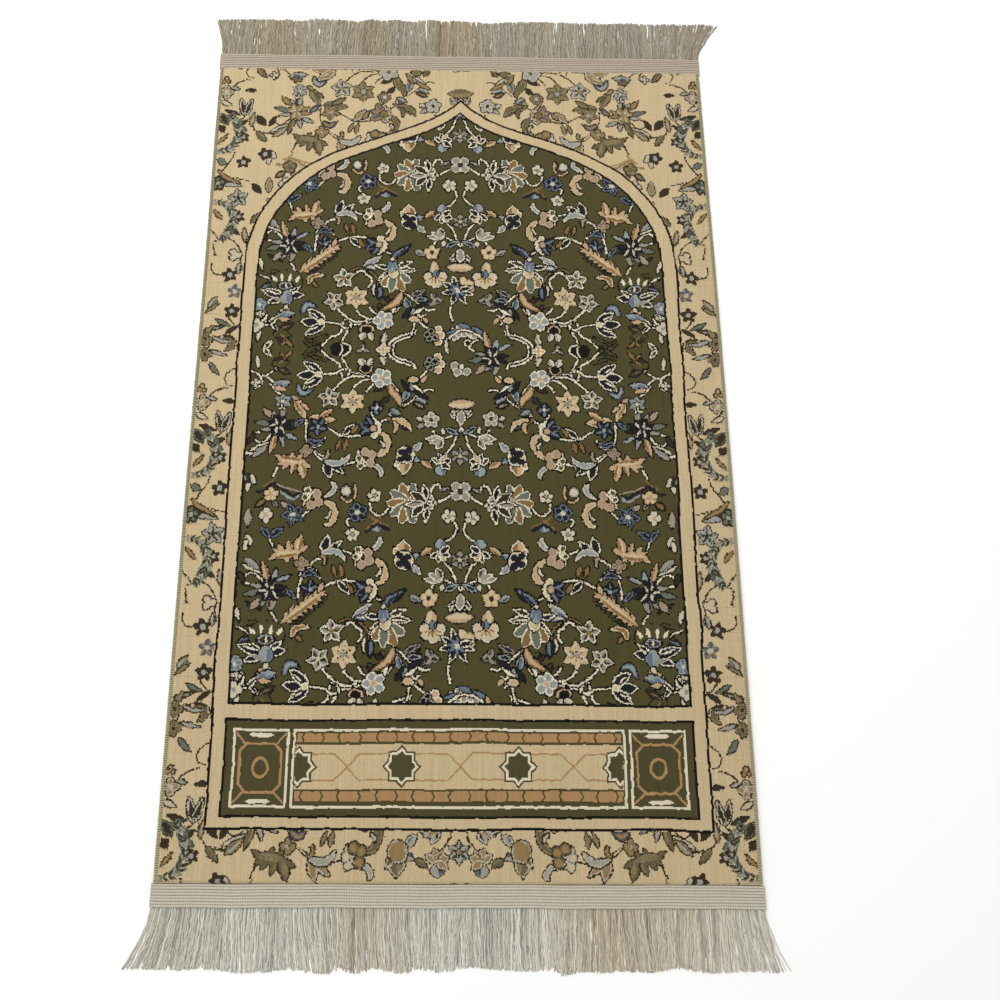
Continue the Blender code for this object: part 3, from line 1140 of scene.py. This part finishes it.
print("yarns:", len(YARNS), "roles:", len(IN_FIELD.split()), len(IN_BORDER.split()))

# %% [markdown]
# The arch has an outer and an inner line, and the frame lies between them. Each tuft now belongs to one
# region, and border and field take their tufts from the repeat.

# %% Arch, frame and panel
region_border, region_frame, region_field, region_panel = range(4)
OUTLINE = 3.0  # mm
outer = inside_arch(295.5, -490, 232, 203, 61)
inner = inside_arch(277.5, -349, 224, 198, 53)
panel = outside_box(0, -422, 279, 54.5)
region = np.full(x.shape, region_border)
region[outer > -1.7] = region_frame
region[inner > -1.5] = region_field
region[panel < 1.4] = region_panel

in_row = ((y - REPEAT_START) % REPEAT / CELL).astype(int) % len(repeat_y)
in_column = ((x + REPEAT_WIDTH) / CELL).astype(int).clip(0, len(repeat_x) - 1)
role = repeat_chart[in_row, in_column]
border_yarn = np.array([YARN[yarn] for yarn in IN_BORDER.split()])[role]
field_yarn = np.array([YARN[yarn] for yarn in IN_FIELD.split()])[role]
yarn_chart = np.where(region == region_field, field_yarn, border_yarn)
yarn_chart[region == region_frame] = YARN["ivory"]
yarn_chart[region == region_panel] = YARN["panel_green"]
draw(outer, "black", OUTLINE)
draw(inner, "black", OUTLINE)
draw(panel, "black", 2.8)
print("tufts in the field:", int((region == region_field).sum()))

# %% [markdown]
# The panel is drawn with rulers rather than by hand: an octagon block at each end, and between them a row
# of eight-pointed stars on a lattice, with a chain of little cartouches above and below. An eight-pointed
# star is a square laid over the same square turned by 45 degrees.

# %% The octagon blocks
BLOCK, MIDDLE = 236, -422  # mm, where the middle of a block and of the panel is
INNER_LINE = 2.9
block_x, block_y = np.abs(side - BLOCK), np.abs(y - MIDDLE)
draw(outside_box(BLOCK, MIDDLE, 32, 43.5), "cream", INNER_LINE)
octagon = outside_box(BLOCK, MIDDLE, 25, 28, 9)
stroke = np.abs(block_x - block_y + 9.5) - 1.7
draw(np.maximum(np.maximum(stroke, -octagon), outside_box(BLOCK, MIDDLE, 30, 41.5)), "clay")
draw(octagon, "clay", OUTLINE)
draw(np.hypot(side - BLOCK, (y - MIDDLE) * 0.82) - 9.0, "clay", OUTLINE)
almond = np.abs(block_y - 38) + (block_x - 10).clip(0) * 0.5 - 2.4
draw(np.maximum(almond, block_x - 16), "cream")
print("octagon tufts:", int((octagon < 0).sum()))

# %% [markdown]
# Between the blocks, a lattice of two level lines and slanting crosses carries the stars.

# %% Lattice and stars
draw(outside_box(0, MIDDLE, 196.5, 43.5), "cream", INNER_LINE)
draw(outside_box(0, -420, 194, 25), "ivory")
for height in (-405.5, -435):
    level = np.abs(y - height) - 1.0
    beside_cross = 14.5 - np.minimum(side, np.abs(side - 134))
    draw(np.maximum(np.maximum(level, beside_cross), side - 194), "clay")
for cross in (0, 134):
    slant = np.abs(np.abs(side - cross) - np.abs(y + 420.2)) - 1.4
    draw(np.maximum(slant, outside_box(cross, -420.2, 15, 15)), "clay")
for star in (69, 190):
    a, b = np.abs(side - star), np.abs(y + 420) * 0.94
    points = np.minimum(np.maximum(a, b) - 14.2, (a + b) / 2**0.5 - 14.2)
    within = side - 193.5
    draw(np.maximum(points - 2.0, within), "panel_green")
    draw(np.maximum(points, within), "cream")
    draw(np.maximum(points + 2.6, within), "panel_green")
print("lattice and stars drawn")

# %% [markdown]
# The chains above and below the stars are one long cartouche and one short link, over and over.

# %% Chains of cartouches
LINK_PITCH = 43.5
along = (x + 12.5) % LINK_PITCH
for band, tall in ((-387, 5.0), (-453, 5.8)):
    draw(outside_box(0, band, 193.5, tall + 2.2), "panel_green")
    up = np.abs(y - band)
    long = np.maximum(np.abs(along - 12.5) + 0.5 * up - 12.2, up - tall)
    link = np.maximum(np.abs(along - 34.2) - 0.5 * up - 7.4, up - tall)
    draw(np.maximum(np.minimum(long, link), side - 193), "clay")
print("panel tufts:", int((region == region_panel).sum()))

# %% [markdown]
# ## The pile as a mesh
#
# A tuft of its own for each of 757,000 cells would be far too much mesh. But a row of tufts is mostly
# runs of one yarn, so each run is one face, as long as the run. A face also takes in the corners of the
# faces in the rows before and behind it, so that the mesh has no gaps, as in a wall of bricks. The frame
# gives the true, slightly wavy edges of the rug, and each row of tufts is stretched between them.

# %% Where the rug's edges are
PILE_TOP = 0.0069  # metres
EDGE_TURN = 0.0056  # the overcast yarn covers this much of each side
lines = np.arange(LENGTH + 1) / 1000 - LENGTH / 2000


def frame_edge(sign):
    """The frame's edge on one side of the rug, at each line between two rows."""
    ends = [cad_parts[name] for name in ("overcast_edge_left", "overcast_edge_right")]
    points = np.array([v.co for v in ends[sign > 0].data.vertices])
    heights = np.unique(points[:, 1].round(4))
    reach = [(points[np.abs(points[:, 1] - h) < 0.0002, 0] * sign).max() * sign for h in heights]
    return np.interp(lines, heights, reach)


left_edge, right_edge = frame_edge(-1), frame_edge(1)
print("width at the foot and the head, in mm:", ((right_edge - left_edge)[[0, -1]] * 1000).round(1))

# %% [markdown]
# Next come the runs of one yarn in each row, and the corners on the line between two rows. The pile is a
# little lower along its ends and sides, where the tufts have no neighbour to hold them upright.

# %% Runs and their corners
FIELD_HEAD = 4  # the field has so many runs that its head half is a piece of its own
section = np.where((region == region_field) & (tuft_y > 0), FIELD_HEAD, region)
key = yarn_chart.astype(int) * 8 + section
breaks = [np.concatenate(([0], np.flatnonzero(np.diff(row)) + 1, [WIDTH])) for row in key]

corner_of, corners = [], []
for line in range(LENGTH + 1):
    beside = breaks[max(line - 1, 0) : line + 1]
    here = np.unique(np.concatenate(beside))
    corner_of.append((here, len(corners) + np.arange(len(here))))
    share = here / WIDTH
    left, right = left_edge[line] + EDGE_TURN, right_edge[line] - EDGE_TURN
    end_drop = 0.0016 * max(0, 1 - min(line, LENGTH - line) / 4) ** 2
    side_drop = 0.0010 * (1 - np.minimum(here, WIDTH - here) / 3).clip(0) ** 2
    top = PILE_TOP - end_drop - side_drop
    corners.extend(zip(left + (right - left) * share, np.full(len(here), lines[line]), top))
corners = np.array(corners)
print("runs:", sum(len(row) - 1 for row in breaks), "corners:", len(corners))

# %% [markdown]
# Each run becomes a face of the region it lies in.

# %% Faces
PIECES = {
    region_border: "pile_border",
    region_frame: "pile_frame",
    region_panel: "pile_panel",
    region_field: "pile_field_foot",
    FIELD_HEAD: "pile_field_head",
}
faces = {number: [] for number in PIECES}
face_yarn = {number: [] for number in PIECES}
for row in range(LENGTH):
    (below_at, below), (above_at, above) = corner_of[row], corner_of[row + 1]
    starts = breaks[row]
    low = np.searchsorted(below_at, starts)
    high = np.searchsorted(above_at, starts)
    for run, start in enumerate(starts[:-1]):
        code = int(key[row, start])
        loop = [*below[low[run] : low[run + 1] + 1], *above[high[run] : high[run + 1] + 1][::-1]]
        faces[code % 8].append(loop)
        face_yarn[code % 8].append(code // 8)
print("faces:", {PIECES[number]: len(loops) for number, loops in faces.items()})

# %% [markdown]
# Last, each region becomes a mesh of its own. No two runs are dyed quite alike, so each is a hair lighter
# or darker than its yarn. The UV map is simply the plan of the piece, seen from above.

# %% Weave the pile
yarn_colours = np.array([rgb(code) for code in YARNS.values()])
pile = {}
for number, name in PIECES.items():
    used, loops = np.unique(np.concatenate(faces[number]), return_inverse=True)
    sizes = np.array([len(loop) for loop in faces[number]])
    ends = np.cumsum(sizes)
    polygons = [loops[end - size : end].tolist() for size, end in zip(sizes, ends)]
    piece = mesh_object(name, corners[used].tolist(), polygons, PILE_WOOL)
    shades = yarn_colours[face_yarn[number]] * random.normal(1, 0.008, (len(sizes), 1)).clip(0.97, 1.03)
    dye(piece, np.repeat(shades, sizes, axis=0), "CORNER")
    flat = corners[used][:, :2]
    flat = (flat - flat.min(0)) / np.ptp(flat, axis=0)
    piece.data.uv_layers.new(name="OFBake").data.foreach_set("uv", flat[loops].ravel())
    pile[name] = piece
    print(name, "has", len(polygons), "runs and", int((sizes - 2).sum()), "triangles")

# %% [markdown]
# ## The ground weave
#
# The pile stands in a cotton ground. At each end the weaver goes on without tufts for two centimetres, and
# that bare strip is where the tape is sewn on. From below, this ground is all there is to see. A slab with the
# rug's own wavy edges is enough for it, because it only shows as a thin line at the sides.

# %% The ground weave
BARE_END = 0.020  # metres without tufts at each end
BARE_TOP = 0.002  # the height of the ground there
GROUND_TOP = 0.0052  # and under the pile
STEP = 0.0002  # the length of the step from one height to the other


def slab(name, y_lines, tops, material, inset=0.0004):
    """A closed slab between the rug's edges, given its lines along the rug and its top at each."""
    left = np.interp(y_lines, lines, left_edge) + inset
    right = np.interp(y_lines, lines, right_edge) - inset
    points, quads = [], []
    for y_line, a, b, top in zip(y_lines, left, right, tops):
        points += [(a, y_line, 0.0), (b, y_line, 0.0), (b, y_line, top), (a, y_line, top)]
    for i in range(0, len(points) - 4, 4):
        quads += [(i + a, i + b, i + b + 4, i + a + 4) for a, b in ((1, 0), (2, 1), (3, 2), (0, 3))]
    quads += [(0, 1, 2, 3), tuple(len(points) - k for k in (1, 2, 3, 4))]
    return mesh_object(name, points, quads, material)


half_pile = LENGTH / 2000
inner_lines = np.linspace(-half_pile, half_pile, 60)
foot_lines = [-half_pile - BARE_END, -half_pile - STEP]
head_lines = [half_pile + STEP, half_pile + BARE_END]
y_lines = [*foot_lines, *inner_lines, *head_lines]
tops = [BARE_TOP, BARE_TOP, *[GROUND_TOP] * len(inner_lines), BARE_TOP, BARE_TOP]
ground = slab("ground_weave", y_lines, tops, GROUND_COTTON, inset=0.0012)
print("ground weave", [round(side, 3) for side in ground.dimensions])

# %% [markdown]
# ## What repeats: Geometry Nodes
#
# Turns of yarn and warp threads are one small shape made hundreds of times. Geometry Nodes does that:
# points along a path, the small shape on each point, a little chance so that no two are the same, and last
# a material. The result is turned into a plain mesh, because only plain meshes go into the library.


# %% Run a Geometry Nodes tree
def grown(name, tree, points, edges, material, inputs):
    """Evaluates a tree on a path of points and edges, and returns a plain mesh object."""
    path = bpy.data.meshes.new("path")
    path.from_pydata(points, edges, [])
    source = show(bpy.data.objects.new("path", path))
    inputs = {"Material": material, **inputs}
    modifier = source.modifiers.new("grow", "NODES")
    modifier.node_group = tree
    for item in tree.interface.items_tree:
        if item.item_type == "SOCKET" and item.in_out == "INPUT" and item.name in inputs:
            modifier[item.identifier] = inputs[item.name]
    bpy.context.view_layer.update()
    evaluated = source.evaluated_get(bpy.context.evaluated_depsgraph_get())
    mesh = bpy.data.meshes.new_from_object(evaluated)
    mesh.name = name
    source.modifiers.remove(modifier)
    bpy.data.objects.remove(source)
    mesh.materials.clear()
    mesh.materials.append(material)
    mesh.calc_loop_triangles()
    print(name, "has", len(mesh.loop_triangles), "triangles")
    return show(bpy.data.objects.new(name, mesh))


def new_tree(name, sockets):
    tree = bpy.data.node_groups.new(name, "GeometryNodeTree")
    tree.interface.new_socket("Geometry", in_out="INPUT", socket_type="NodeSocketGeometry")
    for socket, kind in sockets.items():
        tree.interface.new_socket(socket, in_out="INPUT", socket_type=kind)
    tree.interface.new_socket("Geometry", in_out="OUTPUT", socket_type="NodeSocketGeometry")
    return tree, add(tree, "NodeGroupInput").outputs


def end_tree(tree, shape, material):
    """Makes the instances real, gives them their material and ends the tree."""
    solid = add(tree, "GeometryNodeRealizeInstances", {0: shape.outputs[0]})
    done = add(tree, "GeometryNodeSetMaterial", {"Geometry": solid.outputs[0], "Material": material})
    add(tree, "NodeGroupOutput", {"Geometry": done.outputs[0]})


print("ready to grow")

# %% [markdown]
# ## Overcast edges
#
# A wool yarn is turned over each long edge again and again. It is drawn as one slanted ring to each turn. A
# real turn is about 1.3 mm from the next; here it is 2.6 mm, because finer turns melt into a smooth edge at any
# distance from which the whole rug can be seen.

# %% Overcast edges
TURN_PITCH = 0.0026
TURN_RADIUS, YARN_RADIUS = 0.0029, 0.0008
turns, group = new_tree("overcast_turns", {"Pitch": "NodeSocketFloat", "Material": "NodeSocketMaterial"})
path = add(turns, "GeometryNodeMeshToCurve", {"Mesh": group["Geometry"]})
pitch = {"Curve": path.outputs[0], "Length": group["Pitch"]}
points = add(turns, "GeometryNodeCurveToPoints", pitch, mode="LENGTH")
ring = add(turns, "GeometryNodeCurvePrimitiveCircle", {"Resolution": 12, "Radius": 1.0})
oval = {"Geometry": ring.outputs[0], "Scale": (TURN_RADIUS, 0.0030, 1.0)}
ring = add(turns, "GeometryNodeTransform", oval)
slant = {"Geometry": ring.outputs[0], "Rotation": (pi / 2, 0.0, radians(14))}
ring = add(turns, "GeometryNodeTransform", slant)
section = add(turns, "GeometryNodeCurvePrimitiveCircle", {"Resolution": 4, "Radius": YARN_RADIUS})
ring = add(turns, "GeometryNodeCurveToMesh", {0: ring.outputs[0], 1: section.outputs[0]})
turned = {0: (0.0, 0.0, -0.12), 1: (0.0, 0.0, 0.12), "Seed": 3}
tilt = add(turns, "FunctionNodeRandomValue", turned, data_type="FLOAT_VECTOR")
swell = add(turns, "FunctionNodeRandomValue", {2: 0.92, 3: 1.04, "Seed": 5}, data_type="FLOAT")
each = {"Points": points.outputs[0], "Instance": ring.outputs[0]}
each |= {"Rotation": tilt.outputs[0], "Scale": swell.outputs[1]}
placed = add(turns, "GeometryNodeInstanceOnPoints", each)
end_tree(turns, placed, group["Material"])
print("overcast tree:", len(turns.nodes), "nodes")

# %% [markdown]
# Each long edge of the frame gives the tree a line to follow, a little way in from the edge.

# %% Turn the yarn over both edges
overcast = {}
for name, edge, sign in (("left", left_edge, 1), ("right", right_edge, -1)):
    spots = np.linspace(-half_pile + 0.0015, half_pile - 0.0015, 40)
    line = [(x_at + sign * 0.0036, y_at, 0.0036) for x_at, y_at in zip(np.interp(spots, lines, edge), spots)]
    joins = [(i, i + 1) for i in range(len(line) - 1)]
    overcast[name] = grown(f"overcast_yarn_{name}", turns, line, joins, EDGE_WOOL, {"Pitch": TURN_PITCH})
print("turns on each edge: about", round(LENGTH / 1000 / TURN_PITCH))

# %% [markdown]
# ## Heading tapes
#
# A ribbed cotton tape is sewn over each bare end and hides where the fringe begins. Its ribs are cords in
# the weft that run the whole width, so the tape is one profile drawn out across the rug, and each groove
# has a painted shade down it. The tape isn't quite straight: it was fed through the machine by hand.

# %% Heading tapes
RIBS = 8
# For each end: the cord's yarn, and the darker colour painted into the grooves as shade.
TAPE_CORD_AND_SHADE = {"foot": ("#bbb4a3", "#a09481"), "head": ("#aea291", "#8c7664")}
GROOVE_SHADE = np.array([1.0, 0.3, 0.8, 0.2, 0.9, 0.4, 1.0, 0.3, 0.7])  # how much painted shade each groove gets
tapes = {}
for end in TAPE_CORD_AND_SHADE:
    low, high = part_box(f"heading_tape_{end}")
    across = np.linspace(low.x, high.x, 501)
    steps = np.linspace(0, 1, RIBS * 6 + 1)
    rib = np.abs(np.sin(steps * RIBS * pi))
    profile_y = low.y + 0.0004 + (high.y - low.y - 0.0008) * steps
    profile_z = low.z + 0.0008 + (high.z - low.z - 0.0009) * rib**0.6
    weave = np.sin(across * 31) * 0.0003 + np.sin(across * 83 + 1) * 0.0002
    ripple = random.normal(0, 0.00008, (len(across), len(steps)))
    points, quads = [], []
    for x_at, aside, bumps in zip(across, weave, ripple):
        points += [(x_at, y_at + aside, z_at) for y_at, z_at in zip(profile_y, profile_z + bumps)]
        points += [(x_at, profile_y[-1] + aside, low.z), (x_at, profile_y[0] + aside, low.z)]
    ring_size = len(steps) + 2
    for i in range(len(across) - 1):
        for j in range(ring_size):
            a, b = i * ring_size + j, i * ring_size + (j + 1) % ring_size
            quads.append((b, a, a + ring_size, b + ring_size))
    quads += [tuple(range(ring_size)), tuple(len(points) - 1 - k for k in range(ring_size))]
    tape = mesh_object(f"tape_{end}", points, quads, TAPE_COTTON)
    cord, groove = (np.array(rgb(code)) for code in TAPE_CORD_AND_SHADE[end])
    # Painted shade: each groove darkens towards its bottom, some grooves more than others.
    depth = GROOVE_SHADE[(steps * RIBS + 0.5).astype(int)]
    mix = np.concatenate([1 - depth * (1 - rib**0.35), [1, 1]])[None, :, None]
    shades = groove + (cord - groove) * mix * np.ones((len(across), 1, 1))
    stitch = 1 + 0.10 * (-1.0) ** np.arange(len(across))
    shades *= stitch[:, None, None] * random.normal(1, 0.04, (len(across), len(mix[0]), 1))
    dye(tape, shades)
    tapes[end] = tape
    print(tape.name, "is", round((high.y - low.y) * 1000, 1), "mm wide")

# %% [markdown]
# ## Fringes
#
# The fringe is the warp itself: the threads that every tuft is tied to run out at both ends. They lie
# close together like a comb, with a few gaps where threads have caught on each other, and at the corners
# they spread a little outwards. A tree lays out one bent thread after another along the end of the rug,
# then turns each into a thin tube.

# %% Fringes
THREADS = 1800
THREAD_RADIUS = 0.00062  # metres: coarser than real warp, which would need three times as many threads
SIDES = 4
sockets = {"Radius": "NodeSocketFloat", "Seed": "NodeSocketInt", "Material": "NodeSocketMaterial"}
fringe_tree, group = new_tree("fringe_threads", sockets)
curves = add(fringe_tree, "GeometryNodeMeshToCurve", {"Mesh": group["Geometry"]})
smooth_line = add(fringe_tree, "GeometryNodeResampleCurve", {"Curve": curves.outputs[0], "Count": 11})
here = add(fringe_tree, "GeometryNodeInputPosition")
crinkle = add(fringe_tree, "ShaderNodeTexNoise", {"Vector": here.outputs[0], "Scale": 190.0, "Detail": 2.0})
centre = {0: crinkle.outputs["Color"], 1: (0.5, 0.5, 0.5)}
centred = add(fringe_tree, "ShaderNodeVectorMath", centre, operation="SUBTRACT")
reach = {0: centred.outputs[0], 1: (0.0060, 0.0, 0.0004)}
spread = add(fringe_tree, "ShaderNodeVectorMath", reach, operation="MULTIPLY")
moved = {"Geometry": smooth_line.outputs[0], "Offset": spread.outputs[0]}
bent = add(fringe_tree, "GeometryNodeSetPosition", moved)
limits = {2: 0.75, 3: 1.2, "Seed": group["Seed"]}
thickness = add(fringe_tree, "FunctionNodeRandomValue", limits, data_type="FLOAT")
round_thread = {"Resolution": SIDES, "Radius": group["Radius"]}
profile = add(fringe_tree, "GeometryNodeCurvePrimitiveCircle", round_thread)
swept = {0: bent.outputs[0], 1: profile.outputs[0], "Scale": thickness.outputs[1], "Fill Caps": True}
tube = add(fringe_tree, "GeometryNodeCurveToMesh", swept)
end_tree(fringe_tree, tube, group["Material"])
print("fringe tree:", len(fringe_tree.nodes), "nodes")

# %% [markdown]
# Now chance comes in, in steps from coarse to fine. Locks of threads lean one way together, each thread
# leans a little by itself, and no two are cut to quite the same length. Some stretches of the warp are
# bleached and some are still raw.

# %% Lay out the threads
SPLAY_X = (-0.352, -0.335, -0.305, -0.26, 0.26, 0.305, 0.335, 0.352)  # metres across the rug
SPLAY = {"foot": (-28, -15, -5, 0, 0, 3, 9, 16), "head": (-13, -8.5, -4, 0, 0, 6, 16, 28)}  # mm at the tips
FRINGE_ROOT, FRINGE_TIP = 0.5695, 0.6395  # metres from the middle of the rug
GAPS = {"head": ((0.137, 0.0075), (-0.050, 0.0045)), "foot": ((-0.318, 0.006),)}
FRINGE_YARNS = {"foot": ("#c3c1b4", "#bdb09a"), "head": ("#958f7e", "#9b8a70")}  # bleached, and still raw
LOCK = np.linspace(-0.36, 0.36, 40)
fringes = {}
for end, sign in (("foot", -1), ("head", 1)):
    low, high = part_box(f"fringe_{end}")
    print(f"fringe_{end} of the frame is", round((high.y - low.y) * 1000, 1), "mm long")
    starts = np.linspace(-0.349, 0.3495, THREADS) + random.normal(0, 0.0004, THREADS)
    locks = np.interp(starts, LOCK, random.normal(0, 1, len(LOCK)))
    tip = FRINGE_TIP - np.abs(random.normal(0, 0.0022, THREADS)) + 0.0022 * locks
    lean = np.interp(starts, SPLAY_X, SPLAY[end]) / 1000
    swing = np.interp(starts, np.linspace(-0.36, 0.36, 20), random.normal(0, 0.0042, 20))
    raw = np.interp(starts, np.linspace(-0.36, 0.36, 16), random.uniform(0, 1, 16))[:, None] ** 2
    lean = lean + swing + random.normal(0, 0.0034, THREADS)
    for gap_x, gap_wide in GAPS[end]:
        away = starts - gap_x
        lean += np.sign(away) * gap_wide / 2 * np.exp(-((away / 0.012) ** 2))
    line, joins = [], []
    for k, (x_at, far, aside) in enumerate(zip(starts, tip, lean)):
        height = 0.0006 + 0.0006 * (k % 3)
        for step in (0, 0.3, 0.65, 1.0):
            drop = height * (1 - 0.35 * step)
            y_at = sign * (FRINGE_ROOT + (far - FRINGE_ROOT) * step)
            line.append((x_at + aside * step**1.5, y_at, drop))
        joins += [(4 * k + i, 4 * k + i + 1) for i in range(3)]
    inputs = {"Radius": THREAD_RADIUS, "Seed": 11}
    fringe = grown(f"fringe_threads_{end}", fringe_tree, line, joins, FRINGE_COTTON, inputs)
    bleached, unbleached = (np.array([rgb(code)]) for code in FRINGE_YARNS[end])
    shades = (bleached + (unbleached - bleached) * raw) * random.normal(1, 0.21, (THREADS, 1)).clip(0.4, 1.4)
    dye(fringe, np.repeat(shades, len(fringe.data.vertices) // THREADS, axis=0))
    fringes[end] = fringe

# %% [markdown]
# ## Into the frame
#
# Each piece rides on the rug's one body and stands for the plain CAD solid it dresses, which is hidden. The
# ground weave is the sheet of cloth, 0.70 m wide, with everything else on it.

# %% Ride and replace
made = [ground, *pile.values(), *overcast.values(), *tapes.values(), *fringes.values()]
for piece in made:
    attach(piece, "root")
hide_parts("rug_cloth")
for name, piece in overcast.items():
    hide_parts(f"overcast_edge_{name}")
for name in ("foot", "head"):
    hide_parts(f"heading_tape_{name}")
    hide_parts(f"fringe_{name}")
print("pieces:", len(made))

# %% [markdown]
# ## Floor, light and camera
#
# The rug lies on a plain white floor. One big soft light above and a bright room all round give it the
# even light of a studio, with only a thin shadow along its edges.

# %% Floor and light
floor_material = bpy.data.materials.new("studio_floor")
floor_material.use_nodes = True
paint = floor_material.node_tree.nodes["Principled BSDF"].inputs
paint["Base Color"].default_value = rgb("#f4f4f2")
paint["Roughness"].default_value = 0.9
floor_corners = [(-4, -4, 0), (4, -4, 0), (4, 4, 0), (-4, 4, 0)]
floor = mesh_object("floor", floor_corners, [(0, 1, 2, 3)], floor_material)
floor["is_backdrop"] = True

world = bpy.data.worlds.new("studio_room")
world.use_nodes = True
backdrop = world.node_tree.nodes["Background"].inputs
backdrop["Color"].default_value = (1.0, 1.0, 1.0, 1.0)
backdrop["Strength"].default_value = 0.72
bpy.context.scene.world = world

lamp = bpy.data.lights.new("softbox", "AREA")
lamp.shape = "DISK"
lamp.size = 2.2
lamp.energy = 62.0
softbox = show(bpy.data.objects.new("softbox", lamp))
softbox.location = (-0.9, 1.4, 2.4)
softbox.rotation_euler = (radians(-30), radians(-20), 0)
print("lit by", softbox.name)

# %% [markdown]
# The camera looks almost straight down, from a little below the middle of the rug, so the near end comes
# out wider than the far one.

# %% Camera
lens = bpy.data.cameras.new("camera")
lens.sensor_width = 36.0
lens.lens = 28.08
lens.shift_x = 0.0555
camera = show(bpy.data.objects.new("camera", lens))
camera.location = (-0.0281, -0.3218, 0.9745)
camera.rotation_euler = (radians(13.076), radians(-0.613), radians(0.316))
bpy.context.scene.camera = camera
bpy.context.scene.view_settings.view_transform = "Standard"
print("camera height:", camera.location.z, "m")

# %% [markdown]
# ## Measure and finish
#
# The last cell measures the dressed rug beside its frame.

# %% Measure and finish
sizes = {"frame": [list(corner) for corner in SIZE_OF_FRAME], "visual": [list(corner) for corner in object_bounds()]}
print("visual size", [round(b - a, 4) for a, b in zip(*sizes["visual"])])
